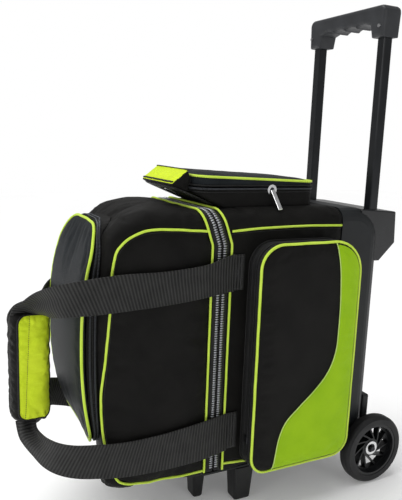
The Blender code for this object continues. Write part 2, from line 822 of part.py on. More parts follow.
def release():
    """The push button, its crossbar, the rods in the tubes and the two lock pins."""
    low = (-30.4 * MM, 308.6 * MM, GRIP_TOP - 7 * MM)
    high = (30.4 * MM, 332.4 * MM, GRIP_TOP + 1.5 * MM)
    button = block("release_button", low, high, GLOSS_PLASTIC, BUTTON, 1.5 * MM)
    stem_low = (-4 * MM, 317 * MM, GRIP_TOP - 20 * MM)
    stem_high = (4 * MM, 322 * MM, GRIP_TOP - 5 * MM)
    bar_low = (-96 * MM, 317 * MM, GRIP_TOP - 20 * MM)
    bar_high = (96 * MM, 322 * MM, GRIP_TOP - 16.5 * MM)
    join(button, block("button_stem", stem_low, stem_high, None))
    join(button, block("button_bar", bar_low, bar_high, None))
    coil = []
    turns = 4
    points_per_turn = 10
    for step in range(turns * points_per_turn + 1):
        angle = math.tau * step / points_per_turn
        height = GRIP_TOP - 13 * MM + (4.6 * MM) * step / (turns * points_per_turn)
        coil.append((16 * MM + 4 * MM * math.cos(angle), 320.5 * MM + 4 * MM * math.sin(angle), height))
    wire("button_spring", coil, 0.45 * MM, STEEL, TROLLEY, 1)
    for word, sign in SIDES:
        rod_top = GRIP_TOP - 20 * MM - GAP
        block(
            "push_rod_" + word,
            (sign * TUBE_X - 2 * MM, TUBE_Y - 2 * MM, 466 * MM),
            (sign * TUBE_X + 2 * MM, TUBE_Y + 2 * MM, rod_top),
            STEEL,
            BUTTON,
        )
        pin_low, pin_high = mirrored(
            (TUBE_X - 9.2 * MM, TUBE_Y - 3.4 * MM, 456.6 * MM),
            (TUBE_X + 2 * MM, TUBE_Y + 3.4 * MM, 461 * MM),
            sign,
        )
        block("lock_pin_" + word, pin_low, pin_high, STEEL, TROLLEY)


# Wheels, axle, brackets and feet.


def wheel(word, sign, parent):
    half = WHEEL_WIDTH / 2
    x = sign * WHEEL_X
    tread = [
        (RIM_RADIUS + GAP, -half + 1 * MM),
        (WHEEL_RADIUS - 6 * MM, -half),
        (WHEEL_RADIUS - 1.5 * MM, -half + 4 * MM),
        (WHEEL_RADIUS, -half + 8 * MM),
        (WHEEL_RADIUS, half - 8 * MM),
        (WHEEL_RADIUS - 1.5 * MM, half - 4 * MM),
        (WHEEL_RADIUS - 6 * MM, half),
        (RIM_RADIUS + GAP, half - 1 * MM),
    ]
    turned("tyre_" + word, tread, x, WHEEL_Y, WHEEL_RADIUS, TYRE_RUBBER, parent, 64)
    rim_half = half - 2 * MM
    rim = slab("rim_" + word, rim_outlines(), "X", x - rim_half, x + rim_half, GLOSS_PLASTIC, parent)
    dish_low, dish_high = sorted((x + sign * SPOKE_FACE, x + sign * WHEEL_WIDTH))
    dish = slab("rim_dish_" + word, [circle(RIM_RADIUS - 5 * MM, 48)], "X", dish_low, dish_high, None)
    for shape in (rim, dish):
        shape.data.transform(Matrix.Translation((0, WHEEL_Y, WHEEL_RADIUS)))
    cut(rim, dish)
    inner = AXLE_RADIUS + GAP
    back = -11 * MM
    bearing = [(inner, back), (10.7 * MM, back), (10.7 * MM, SPOKE_FACE), (inner, SPOKE_FACE)]
    face = SPOKE_FACE + GAP
    ring = [(8.5 * MM, face), (14.5 * MM, face), (14 * MM, face + 2.5 * MM), (9 * MM, face + 2.5 * MM)]
    if sign < 0:
        bearing, ring = ([(radius, -offset) for radius, offset in profile] for profile in (bearing, ring))
    turned("bearing_" + word, bearing, x, WHEEL_Y, WHEEL_RADIUS, STEEL, parent, 32)
    turned("hub_ring_" + word, ring, x, WHEEL_Y, WHEEL_RADIUS, BRIGHT_METAL, parent, 32)


def circle(radius, count):
    return [polar(radius, math.tau * i / count) for i in range(count)]


def rim_outlines(spokes=11, thickness=3.6):
    """The outside of the rim, its bore and the openings between thin swept spokes."""
    outlines = [circle(RIM_RADIUS, 64), circle(11 * MM, 32)]
    curve = ((19, 0.0), (24, 0.20), (30, 0.36), (37, 0.48), (45, 0.56))
    for spoke in range(spokes):
        turn = math.tau * spoke / spokes
        opening = []
        for radius, sweep in curve:
            opening.append(polar(radius * MM, turn + sweep + thickness / 2 / radius))
        turn += math.tau / spokes
        for radius, sweep in reversed(curve):
            opening.append(polar(radius * MM, turn + sweep - thickness / 2 / radius))
        outlines.append(opening)
    return outlines


def polar(radius, angle):
    return (radius * math.cos(angle), radius * math.sin(angle))


def running_gear():
    turned(
        "axle",
        [(0.0, -143 * MM), (AXLE_RADIUS, -143 * MM), (AXLE_RADIUS, 143 * MM), (0.0, 143 * MM)],
        0,
        WHEEL_Y,
        WHEEL_RADIUS,
        STEEL,
        ROOT,
        32,
    )
    for word, sign in SIDES:
        joint = empty(f"wheel_{word}_axis", (sign * WHEEL_X, WHEEL_Y, WHEEL_RADIUS), ROOT)
        wheel(word, sign, joint)
        profile = rounded_outline(
            [
                (262 * MM, 70 * MM, 0),
                (330 * MM, 50 * MM, 14 * MM),
                (356 * MM, 50 * MM, 17 * MM),
                (356 * MM, 88 * MM, 17 * MM),
                (345 * MM, 112 * MM, 0),
                (310 * MM, 112 * MM, 0),
                (262 * MM, 90 * MM, 0),
            ],
            4,
        )
        xs = sorted((sign * 92 * MM, sign * 117 * MM))
        bracket = slab("wheel_bracket_" + word, [profile], "X", *xs, BACK_PLASTIC, ROOT)
        cut(bracket, back_envelope("bracket_seat_" + word, GAP))
        hole = circle(AXLE_RADIUS + 0.4 * MM, 32)
        bore = slab("axle_bore_" + word, [hole], "X", xs[0] - 10 * MM, xs[1] + 10 * MM, None)
        bore.data.transform(Matrix.Translation((0, WHEEL_Y, WHEEL_RADIUS)))
        cut(bracket, bore)


def foot(name, x_low, x_high, y_low, y_high, sign):
    """A rubber foot that narrows towards the floor."""
    low, high = mirrored((x_low, y_low, 0), (x_high, y_high, BOTTOM - 5.5 * MM - GAP), sign)
    shape = cube(low, high)
    middle = (Vector(low) + Vector(high)) / 2
    for vert in shape.verts:
        if vert.co.z < middle.z:
            vert.co.x += math.copysign(FOOT_TAPER, middle.x - vert.co.x)
            vert.co.y += math.copysign(FOOT_TAPER, middle.y - vert.co.y)
    bevel(shape, shape.edges, 5 * MM, 3)
    mesh_object(name, shape, RUBBER, ROOT)


def feet():
    for word, sign in SIDES:
        foot("rear_foot_" + word, 61 * MM, 99 * MM, 44 * MM, 86 * MM, sign)
        foot("front_foot_" + word, 22 * MM, 60 * MM, -23 * MM, 4 * MM, sign)


# Carry straps: one webbing loop on each side, closed in a padded grip at the front.

STRAP_PLAN = [
    # x, y, then the top and bottom edges of the upper and of the lower run
    (124, 0.5, 484, 419, 199, 128),
    (128, -20, 479, 418, 197, 127),
    (130, -60, 468, 413, 193, 123),
    (131, -120, 464, 408, 187, 122),
    (131, -180, 464, 405, 186, 125),
    (130, -225, 461, 403, 190, 131),
    (124, -258, 457, 401, 192, 136),
    (108, -283, 450, 397, 192, 140),
    (80, -296, 440, 391, 190, 143),
    (50, -300, 427, 386, 188, 147),
    (25, -301, 414, 382, 184, 149),
    (10, -305, 404, 380, 178, 151),
    (5, -317, 396, 378, 174, 153),
    (4.6, -338, 384, 372, 168, 158),
]
STRAP_TURN = 12


def strap_columns():
    return [tuple(value * MM for value in row) for row in STRAP_PLAN]


def carry_strap(word, sign, parent):
    """One webbing loop: upper run, down through the grip, lower run, as one band on a bent surface."""
    shape = bmesh.new()
    columns = []
    for x, y, up_top, up_low, low_top, low_low in strap_columns():
        heights = (up_top, up_low, low_top, low_low)
        columns.append([shape.verts.new((sign * x, y, z)) for z in heights])
    for i in range(len(columns) - 1):
        a, b = columns[i], columns[i + 1]
        shape.faces.new((a[0], b[0], b[1], a[1]))
        shape.faces.new((a[2], b[2], b[3], a[3]))
        if i >= STRAP_TURN:
            shape.faces.new((a[1], b[1], b[2], a[2]))
    strap = mesh_object("carry_strap_" + word, shape, WEBBING, parent)
    solid = strap.modifiers.new("webbing", "SOLIDIFY")
    solid.thickness = STRAP_THICKNESS
    solid.offset = 0
    solid.use_even_offset = True
    wrap = rounded_outline(
        [
            (-345 * MM, 177 * MM, 14 * MM),
            (-313 * MM, 177 * MM, 0),
            (-303 * MM, 188 * MM, 0),
            (-284 * MM, 191 * MM, 10 * MM),
            (-284 * MM, 373 * MM, 14 * MM),
            (-345 * MM, 373 * MM, 14 * MM),
        ],
        4,
    )
    xs = sorted((sign * 7 * MM, sign * 26 * MM))
    pillow(
        "carry_grip_" + word,
        lambda inset: inset_outline(wrap, inset),
        "X",
        *xs,
        6 * MM,
        LIME_FABRIC,
        parent,
        3,
    )
    low, high = mirrored((HALF_WIDTH + GAP, 4 * MM, 125 * MM), (122 * MM, 27 * MM, 490 * MM), sign)
    block("strap_anchor_" + word, low, high, WEBBING, ROOT, 1 * MM, 1)


def carry_straps():
    for word, sign in SIDES:
        joint = empty(f"strap_{word}_axis", (sign * STRAP_AXIS[0], STRAP_AXIS[1], 300 * MM), ROOT)
        carry_strap(word, sign, joint)


# Top grab handle and zipper sliders.


def tilted(obj, angle):
    """Turn a piece about the grab handle's hinge line."""
    pivot = Vector((0, *HANDLE_HINGE))
    turn = Matrix.Translation(pivot) @ Matrix.Rotation(angle, 4, "X") @ Matrix.Translation(-pivot)
    obj.data.transform(turn)
    return obj


def top_handle():
    """A webbing bow lying forwards over the zipper, with a padded sleeve standing on its cross bar."""
    y, z = HANDLE_HINGE
    outer = 74 * MM
    inner = 46 * MM
    reach = 86 * MM
    bow = [
        [
            (-outer, y),
            (-outer, y - reach),
            (outer, y - reach),
            (outer, y),
            (inner, y),
            (inner, y - reach + 28 * MM),
            (-inner, y - reach + 28 * MM),
            (-inner, y),
        ]
    ]
    bow_piece = slab("top_handle_webbing", bow, "Z", z - 1.2 * MM, z + 1.2 * MM, WEBBING, TOP_HANDLE)
    tilted(bow_piece, -HANDLE_TILT)
    sleeve = [(-88.4, 594.6), (-57.2, 582), (-53, 609), (-58.5, 620), (-84, 600.5)]
    pillow(
        "top_handle_sleeve",
        lambda inset: inset_outline([(v * MM, w * MM) for v, w in sleeve], inset),
        "X",
        -69 * MM,
        69 * MM,
        2.5 * MM,
        LIME_FABRIC,
        TOP_HANDLE,
    )


def sliders():
    """The zipper sliders, each with its short pull; the top pocket's pull tab swings on its ring."""
    travel = empty("top_slider_axis", (TOP_POCKET_HALF, 97 * MM, TOP_POCKET_SPLIT), ROOT)
    swing = empty("top_pull_axis", (TOP_POCKET_HALF, 97 * MM, 588 * MM), travel)
    swing.location = (0, 0, 588 * MM - TOP_POCKET_SPLIT)
    bpy.context.view_layer.update()
    body_x = TOP_POCKET_HALF + GAP
    turned(
        "top_zip_slider",
        [(4.4 * MM, 0.0), (9.2 * MM, 0.0), (9.2 * MM, 2.6 * MM), (4.4 * MM, 2.6 * MM)],
        body_x,
        97 * MM,
        588 * MM,
        BRIGHT_METAL,
        travel,
        20,
    )
    tab = block(
        "top_zip_pull",
        (body_x + 3 * MM, 93 * MM, 549 * MM),
        (body_x + 5 * MM, 101 * MM, 588 * MM),
        BRIGHT_METAL,
        swing,
        0.8 * MM,
        1,
    )
    pivot = Vector((body_x + 3 * MM, 97 * MM, 588 * MM))
    lean = Matrix.Rotation(math.radians(12), 4, "X") @ Matrix.Rotation(math.radians(-28), 4, "Y")
    tab.data.transform(Matrix.Translation(pivot) @ lean @ Matrix.Translation(-pivot))
    main = empty("main_slider_axis", (-HALF_WIDTH, -14 * MM, 118 * MM), ROOT)
    low = (-HALF_WIDTH - 3.6 * MM, -19 * MM, 112 * MM)
    high = (-HALF_WIDTH - GAP, -9 * MM, 126 * MM)
    block("main_zip_slider", low, high, BRIGHT_METAL, main, 1 * MM, 1)
    side = empty("side_slider_axis", (140 * MM, SIDE_POCKET[0], 150 * MM), ROOT)
    low = (134 * MM, SIDE_POCKET[0] - 3.6 * MM, 144 * MM)
    high = (146 * MM, SIDE_POCKET[0] - GAP, 158 * MM)
    block("side_zip_slider", low, high, STEEL, side, 1 * MM, 1)
    front = empty("front_slider_axis", (-FRONT_POCKET_HALF, -236 * MM, 240 * MM), ROOT)
    front.parent = FRONT
    front.location = (-FRONT_POCKET_HALF, -236 * MM - FRONT_HINGE[0], 240 * MM - FRONT_HINGE[1])
    bpy.context.view_layer.update()
    low = (-FRONT_POCKET_HALF - 3.6 * MM, -241 * MM, 234 * MM)
    high = (-FRONT_POCKET_HALF - GAP, -231 * MM, 248 * MM)
    block("front_zip_slider", low, high, STEEL, front, 1 * MM, 1)


rear_shell()
back_shell()
inner_boards()
front_shell()
zipper_tapes()
front_pocket()
side_pocket()
top_pocket()
trolley_tubes()
handle_housing()
trolley_grip()
release()
running_gear()
feet()
carry_straps()
top_handle()
sliders()

ROOT.location = ORIGIN_SHIFT
bpy.context.view_layer.update()
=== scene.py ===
"""The looks of the rolling bowling ball bag: cloth, piping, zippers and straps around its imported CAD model.

Lengths are in millimetres in the bag's own coordinates, turned into metres in the frame by at().
X is across the bag with the side pocket at +X, Y = 0 is the front edge of the rear half, and Z = 0 is
the floor.
"""

import math

import bmesh
import bpy
import numpy as np
from mathutils import Matrix, Vector, kdtree, noise
from mathutils.bvhtree import BVHTree


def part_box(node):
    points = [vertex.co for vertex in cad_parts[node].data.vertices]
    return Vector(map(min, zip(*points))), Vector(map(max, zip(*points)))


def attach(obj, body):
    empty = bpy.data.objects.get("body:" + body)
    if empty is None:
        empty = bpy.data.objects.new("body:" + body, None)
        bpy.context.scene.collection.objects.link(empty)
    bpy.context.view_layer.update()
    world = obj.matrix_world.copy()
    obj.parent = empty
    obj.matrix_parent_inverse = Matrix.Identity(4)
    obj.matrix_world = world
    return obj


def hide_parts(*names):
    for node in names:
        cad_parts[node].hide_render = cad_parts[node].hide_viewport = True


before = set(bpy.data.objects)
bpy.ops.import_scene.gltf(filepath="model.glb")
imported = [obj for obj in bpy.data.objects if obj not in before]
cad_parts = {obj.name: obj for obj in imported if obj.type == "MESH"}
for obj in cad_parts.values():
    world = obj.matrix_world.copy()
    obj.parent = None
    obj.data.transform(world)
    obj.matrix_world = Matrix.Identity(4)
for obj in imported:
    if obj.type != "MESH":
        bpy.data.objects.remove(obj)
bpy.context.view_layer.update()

MM = 0.001
SIDES = (("near", 1), ("far", -1))
BACK_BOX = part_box("back_shell")
DATUM = Vector(((BACK_BOX[0].x + BACK_BOX[1].x) / 2, BACK_BOX[0].y - 236 * MM, 0.0))


def at(x, y, z):
    """A point of the bag, given in its own millimetres, in the frame."""
    return DATUM + Vector((x, y, z)) * MM


def local_box(node):
    """The lowest and the highest corner of a CAD node in the bag's own millimetres."""
    low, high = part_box(node)
    return (low - DATUM) / MM, (high - DATUM) / MM


# Driving sizes, read from the CAD model where it states them.

HALF = local_box("rear_shell")[1].x
TOP = local_box("rear_shell")[1].z
BOTTOM = local_box("rear_shell")[0].z
EDGE_ROUND = 24
LEAN = 20
LEAN_START = 500
PIPING = 2.1
SETTLE_FRAMES = 20
CLOTH_WALL = 4
STRAP_WIDTH = 60
SIDE_LID = local_box("side_pocket_lid")
SIDE_CORNERS = [
    (SIDE_LID[0].y, SIDE_LID[0].z, 30),
    (SIDE_LID[1].y, SIDE_LID[0].z, 34),
    (SIDE_LID[1].y, SIDE_LID[1].z, 58),
    (SIDE_LID[0].y, SIDE_LID[1].z, 42),
]
FRONT_DOOR = local_box("front_pocket_panel")
FRONT_CORNERS = [
    (FRONT_DOOR[0].x, FRONT_DOOR[0].z, 38),
    (FRONT_DOOR[1].x, FRONT_DOOR[0].z, 38),
    (FRONT_DOOR[1].x, FRONT_DOOR[1].z, 58),
    (FRONT_DOOR[0].x, FRONT_DOOR[1].z, 58),
]
TOP_LID = local_box("top_pocket_lid")
TOP_CORNERS = [
    (TOP_LID[0].x, TOP_LID[0].y, 26),
    (TOP_LID[1].x, TOP_LID[0].y, 26),
    (TOP_LID[1].x, TOP_LID[1].y, 26),
    (TOP_LID[0].x, TOP_LID[1].y, 26),
]


# Materials.


class Shader:
    """A Principled material with short helpers for the nodes that feed it."""

    def __init__(self, name, **inputs):
        self.material = bpy.data.materials.new(name)
        self.material.use_nodes = True
        tree = self.material.node_tree
        self.nodes = tree.nodes
        self.links = tree.links
        self.principled = self.nodes["Principled BSDF"]
        for socket, value in inputs.items():
            self.principled.inputs[socket.replace("_", " ")].default_value = value
        self.position = self.nodes.new("ShaderNodeTexCoord").outputs["Object"]

    def link(self, output, node_input):
        self.links.new(output, node_input)

    def uv(self):
        return self.nodes.new("ShaderNodeUVMap").outputs["UV"]

    def wave(self, period, direction, vector=None, distortion=0.0):
        """Threads or ribs of one period in metres along an axis."""
        node = self.nodes.new("ShaderNodeTexWave")
        node.bands_direction = direction
        node.inputs["Scale"].default_value = math.tau / 20 / period
        node.inputs["Distortion"].default_value = distortion
        self.link(vector or self.position, node.inputs["Vector"])
        return node.outputs["Fac"]

    def noise(self, size, detail=2.0, vector=None):
        node = self.nodes.new("ShaderNodeTexNoise")
        node.inputs["Scale"].default_value = 1 / size
        node.inputs["Detail"].default_value = detail
        self.link(vector or self.position, node.inputs["Vector"])
        return node.outputs["Fac"]

    def math(self, operation, a, b):
        node = self.nodes.new("ShaderNodeMath")
        node.operation = operation
        for socket, value in zip(node.inputs, (a, b)):
            if isinstance(value, (int, float)):
                socket.default_value = value
            else:
                self.link(value, socket)
        return node.outputs[0]

    def total(self, *parts):
        result = parts[0]
        for part in parts[1:]:
            result = self.math("ADD", result, part)
        return result

    def colours(self, factor, low, high, start=0.3, end=0.7):
        ramp = self.nodes.new("ShaderNodeValToRGB")
        ramp.color_ramp.elements[0].position = start
        ramp.color_ramp.elements[1].position = end
        ramp.color_ramp.elements[0].color = (*low, 1)
        ramp.color_ramp.elements[1].color = (*high, 1)
        self.link(factor, ramp.inputs["Fac"])
        self.link(ramp.outputs["Color"], self.principled.inputs["Base Color"])

    def roughness(self, factor, low, high):
        span = self.nodes.new("ShaderNodeMapRange")
        span.inputs["To Min"].default_value = low
        span.inputs["To Max"].default_value = high
        self.link(factor, span.inputs["Value"])
        self.link(span.outputs["Result"], self.principled.inputs["Roughness"])

    def bump(self, height, depth, strength=1.0):
        """Relief of a depth in metres; a second call lies on top of the first."""
        node = self.nodes.new("ShaderNodeBump")
        node.inputs["Strength"].default_value = strength
        node.inputs["Distance"].default_value = depth
        self.link(height, node.inputs["Height"])
        normal = self.principled.inputs["Normal"]
        if normal.is_linked:
            self.link(normal.links[0].from_socket, node.inputs["Normal"])
        self.link(node.outputs["Normal"], normal)


def woven(name, low, high, thread, depth, roughness, sheen, sheen_tint=(1, 1, 1)):
    """Plain-woven cloth: crossed threads, slow shade changes and a soft sheen."""
    shader = Shader(
        name, Sheen_Weight=sheen, Sheen_Roughness=0.45, Sheen_Tint=(*sheen_tint, 1), Specular_IOR_Level=0.1
    )
    threads = shader.total(*(shader.wave(thread, axis, distortion=0.4) for axis in "XYZ"))
    fibres = shader.noise(thread * 1.6, 3)
    shade = shader.total(
        shader.math("MULTIPLY", shader.noise(0.05, 4), 0.75), shader.math("MULTIPLY", fibres, 0.25)
    )
    shader.colours(shade, low, high)
    shader.roughness(fibres, roughness - 0.08, roughness + 0.08)
    shader.bump(shader.noise(0.018, 3), 0.0012, 0.35)
    shader.bump(threads, depth, 0.6)
    return shader.material


def ribbed(name, low, high, rib, thread, depth, roughness, sheen):
    """Webbing or tape: ribs across its length, read from UVs in metres, with threads along it. The ribs also
    paint highlight on their ridges and shade in their grooves into the colour.
    """
    shader = Shader(name, Sheen_Weight=sheen, Sheen_Roughness=0.4, Specular_IOR_Level=0.25)
    uv = shader.uv()
    rib_height_and_painted_shade = shader.wave(rib, "X", uv)
    threads = shader.wave(thread, "Y", uv)
    # painted highlight and shade: the ribs lighten the colour on their ridges and darken it in their grooves,
    # mixed with random tone
    shade = shader.total(
        shader.math("MULTIPLY", rib_height_and_painted_shade, 0.55), shader.math("MULTIPLY", shader.noise(0.02, 4), 0.45)
    )
    shader.colours(shade, low, high, 0.15, 0.85)
    shader.roughness(shader.noise(0.004, 2), roughness - 0.06, roughness + 0.1)
    shader.bump(rib_height_and_painted_shade, depth, 0.9)
    shader.bump(threads, depth * 0.4, 0.6)
    return shader.material


def moulded(name, low, high, roughness, grain, coat=0.0, metallic=0.0):
    """Moulded plastic or rubber: fine grain, faint shade changes and handling marks."""
    shader = Shader(name, Metallic=metallic, Coat_Weight=coat, Coat_Roughness=0.12, Specular_IOR_Level=0.32)
    marks = shader.noise(0.03, 5)
    shader.colours(marks, low, high)
    shader.roughness(shader.noise(0.012, 4), roughness - 0.07, roughness + 0.09)
    shader.bump(shader.noise(0.0011, 2), grain, 0.5)
    return shader.material


def metal(name, colour, roughness, brushed):
    """Bare metal with fine brushing and small smudges."""
    shader = Shader(name, Metallic=1.0)
    darker = tuple(value * 0.82 for value in colour)
    shader.colours(shader.noise(0.006, 4), darker, colour)
    shader.roughness(shader.noise(0.003, 3), roughness - 0.05, roughness + 0.12)
    shader.bump(shader.noise(0.0005, 2), brushed, 0.4)
    return shader.material


BLACK_CLOTH = woven(
    "black_nylon", (0.0034, 0.0032, 0.0029), (0.0080, 0.0075, 0.0069), 0.0009, 0.00018, 0.5, 0.018
)
SLATE_CLOTH = woven(
    "slate_nylon", (0.0066, 0.0085, 0.0101), (0.0138, 0.0172, 0.0203), 0.0009, 0.00018, 0.5, 0.03
)
LIME_CLOTH = woven(
    "lime_nylon", (0.27, 0.50, 0.004), (0.36, 0.60, 0.008), 0.0009, 0.00015, 0.5, 0.08, (0.8, 1.0, 0.3)
)
WRAP_CLOTH = woven(
    "lime_wrap", (0.60, 0.78, 0.018), (0.76, 0.92, 0.042), 0.0008, 0.00015, 0.46, 0.1, (0.9, 1.0, 0.4)
)
PIPING_CLOTH = woven(
    "lime_piping", (0.54, 0.76, 0.06), (0.70, 0.90, 0.12), 0.0012, 0.0002, 0.42, 0.1, (0.9, 1.0, 0.5)
)
LINING_CLOTH = woven("lining", (0.014, 0.014, 0.015), (0.028, 0.028, 0.03), 0.0012, 0.00015, 0.7, 0.05)
FOAM = woven("foam", (0.045, 0.045, 0.048), (0.075, 0.075, 0.08), 0.002, 0.0003, 0.85, 0.05)
# the low and high colours of webbing, tape and binding go partly to painted shade in the rib grooves and
# painted highlight on the rib ridges
WEBBING = ribbed(
    "webbing", (0.0012, 0.0012, 0.0012), (0.037, 0.037, 0.036), 0.0056, 0.0013, 0.0009, 0.5, 0.05
)
TAPE = ribbed(
    "zipper_tape", (0.004, 0.004, 0.0042), (0.0125, 0.0125, 0.013), 0.0016, 0.001, 0.0002, 0.6, 0.05
)
BINDING = ribbed(
    "binding", (0.004, 0.004, 0.004), (0.0125, 0.0125, 0.0125), 0.0013, 0.0011, 0.0002, 0.55, 0.06
)
THREAD = woven("thread", (0.035, 0.035, 0.036), (0.065, 0.065, 0.068), 0.0006, 0.0001, 0.5, 0.1)
PALE_THREAD = woven("pale_thread", (0.42, 0.62, 0.12), (0.6, 0.78, 0.25), 0.0006, 0.0001, 0.5, 0.1)
SILVER_COIL = metal("silver_coil", (0.50, 0.51, 0.54), 0.34, 0.00005)
DARK_COIL = metal("dark_coil", (0.10, 0.105, 0.115), 0.38, 0.00003)
BLACK_COIL = moulded("black_coil", (0.012, 0.012, 0.013), (0.03, 0.03, 0.032), 0.32, 0.00002)
BACK_PLASTIC = moulded("back_plastic", (0.0055, 0.0068, 0.0078), (0.0095, 0.0115, 0.013), 0.46, 0.00006)
GLOSS_PLASTIC = moulded(
    "gloss_plastic", (0.004, 0.0045, 0.0055), (0.0075, 0.0085, 0.010), 0.24, 0.00002, 0.35
)
GRIP_PLASTIC = moulded("grip_plastic", (0.026, 0.0275, 0.030), (0.040, 0.042, 0.046), 0.42, 0.00008)
BUTTON_PLASTIC = moulded("button_plastic", (0.012, 0.012, 0.013), (0.02, 0.02, 0.021), 0.3, 0.00003)
TUBE_COAT = moulded("tube_coat", (0.0065, 0.0075, 0.009), (0.0105, 0.012, 0.0145), 0.3, 0.00002, 0.2, 0.3)
TYRE_RUBBER = moulded("tyre_rubber", (0.008, 0.008, 0.0085), (0.0145, 0.0145, 0.0155), 0.55, 0.00008)
FOOT_RUBBER = moulded("foot_rubber", (0.006, 0.006, 0.0065), (0.011, 0.011, 0.0115), 0.42, 0.00006)
RIM_PLASTIC = moulded("rim_plastic", (0.0035, 0.004, 0.0045), (0.007, 0.0075, 0.0085), 0.34, 0.00003, 0.1)
BOARD = moulded("board", (0.02, 0.02, 0.02), (0.032, 0.032, 0.033), 0.6, 0.0001)
STEEL = metal("steel", (0.42, 0.42, 0.43), 0.36, 0.00004)
DARK_STEEL = metal("dark_steel", (0.05, 0.05, 0.055), 0.4, 0.00004)
CHROME = metal("chrome", (0.80, 0.80, 0.81), 0.16, 0.00001)


# Outlines and paths.


def arc(centre, radius, start, end, steps):
    for step in range(steps + 1):
        angle = start + (end - start) * step / steps
        yield (centre[0] + radius * math.cos(angle), centre[1] + radius * math.sin(angle))


def rounded(corners, inset=0.0, steps=8):
    """An anticlockwise rounded rectangle from (u, v, radius) corners, moved inwards by an inset."""
    signs = ((1, 1), (-1, 1), (-1, -1), (1, -1))
    points = []
    for i, ((u, v, radius), (su, sv)) in enumerate(zip(corners, signs)):
        centre = (u + su * radius, v + sv * radius)
        start = math.pi + i * math.pi / 2
        points.extend(arc(centre, radius - inset, start, start + math.pi / 2, steps))
    return points


def resampled(points, step, closed=False):
    """Points at equal steps along the straight pieces of a path."""
    path = [Vector(p) for p in points]
    if closed:
        path.append(path[0])
    lengths = [0.0]
    for a, b in zip(path, path[1:]):
        lengths.append(lengths[-1] + (b - a).length)
    count = max(2, round(lengths[-1] / step))
    result = []
    piece = 0
    for i in range(count if closed else count + 1):
        wanted = lengths[-1] * i / count
        while piece < len(path) - 2 and lengths[piece + 1] < wanted:
            piece += 1
        span = lengths[piece + 1] - lengths[piece]
        result.append(path[piece].lerp(path[piece + 1], (wanted - lengths[piece]) / span if span else 0))
    return result


def catmull_rom(a, b, c, d, t):
    """A point between b and c on the curve through four points."""
    return 0.5 * (2 * b + (c - a) * t + (2 * a - 5 * b + 4 * c - d) * t * t + (3 * b - a - 3 * c + d) * t**3)


def smoothed(points, step, closed=False):
    """A Catmull-Rom curve through the points, at equal steps."""
    path = [Vector(p) for p in points]
    count = len(path)
    fine = []
    for i in range(count if closed else count - 1):
        a = path[i - 1] if closed or i else path[0]
        b = path[i]
        c = path[(i + 1) % count]
        d = path[(i + 2) % count] if closed or i + 2 < count else path[-1]
        for k in range(8):
            fine.append(catmull_rom(a, b, c, d, k / 8))
    if not closed:
        fine.append(path[-1])
    return resampled(fine, step, closed)


def lean(z):
    """How far forward the seams of the main opening lean at a height."""
    return -LEAN * min(max((z - LEAN_START) / (TOP - LEAN_START), 0), 1)


def arch(y, low, outside=0.0):
    """The main opening's seam at y, from a height up over the top and down again, with normals."""
    half = HALF + outside
    radius = EDGE_ROUND + outside
    outline = [(-half, low), *arc((EDGE_ROUND - HALF, TOP - EDGE_ROUND), radius, math.pi, math.pi / 2, 6)]
    outline += [*arc((HALF - EDGE_ROUND, TOP - EDGE_ROUND), radius, math.pi / 2, 0, 6), (half, low)]
    path = resampled([Vector((x, 0, z)) for x, z in outline], 5)
    normals = []
    for point in path:
        core_x = min(max(point.x, EDGE_ROUND - HALF), HALF - EDGE_ROUND)
        core_z = min(point.z, TOP - EDGE_ROUND)
        normals.append(Vector((point.x - core_x, 0, point.z - core_z)).normalized())
    return [at(p.x, y + lean(p.z), p.z) for p in path], normals


# Pieces.


def piece(name, shape, material, body):
    """Finish a bmesh as an object that rides on a body."""
    bmesh.ops.recalc_face_normals(shape, faces=shape.faces)
    mesh = bpy.data.meshes.new(name)
    shape.to_mesh(mesh)
    shape.free()
    obj = bpy.data.objects.new(name, mesh)
    bpy.context.scene.collection.objects.link(obj)
    if material is not None:
        mesh.materials.append(material)
    mesh.shade_smooth()
    if body is not None:
        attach(obj, body)
    return obj


def round_profile(radius, sides):
    return list(arc((0, 0), radius, 0, math.tau, sides))[:-1]


def flat_profile(width, thickness, crown=0.0):
    """A ribbon's section: rounded edges and, with a crown, a raised middle."""
    half = width / 2
    t = thickness / 2
    us = np.linspace(-half + t, half - t, 9)
    upper = [(u, t + crown * (1 - (u / half) ** 2)) for u in us]
    lower = [(u, -t) for u in reversed(us)]
    return [(-half, 0.0), *upper, (half, 0.0), *lower]


def mapped_shape():
    shape = bmesh.new()
    shape.loops.layers.uv.new("UVMap")
    return shape


def quads(shape, rows, uv_at):
    """Faces between rows of vertices, with UVs in metres from uv_at(row, column)."""
    uv_layer = shape.loops.layers.uv.active
    for i, (row, following) in enumerate(zip(rows, rows[1:])):
        for k in range(len(row) - 1):
            face = shape.faces.new((row[k], row[k + 1], following[k + 1], following[k]))
            for loop, corner in zip(face.loops, ((i, k), (i, k + 1), (i + 1, k + 1), (i + 1, k))):
                loop[uv_layer].uv = uv_at(*corner)


def tube(shape, rings):
    """Join rings of vertices, one after another, into an open tube."""
    for ring, following in zip(rings, rings[1:]):
        for k in range(len(ring)):
            n = (k + 1) % len(ring)
            shape.faces.new((ring[k], ring[n], following[n], following[k]))


def bead(shape, rings):
    """A tube with closed ends: one stitch or one tooth of a coil."""
    tube(shape, rings)
    shape.faces.new(rings[0])
    shape.faces.new(rings[-1])


def point_tree(points):
    tree = kdtree.KDTree(len(points))
    for i, point in enumerate(points):
        tree.insert(point, i)
    tree.balance()
    return tree


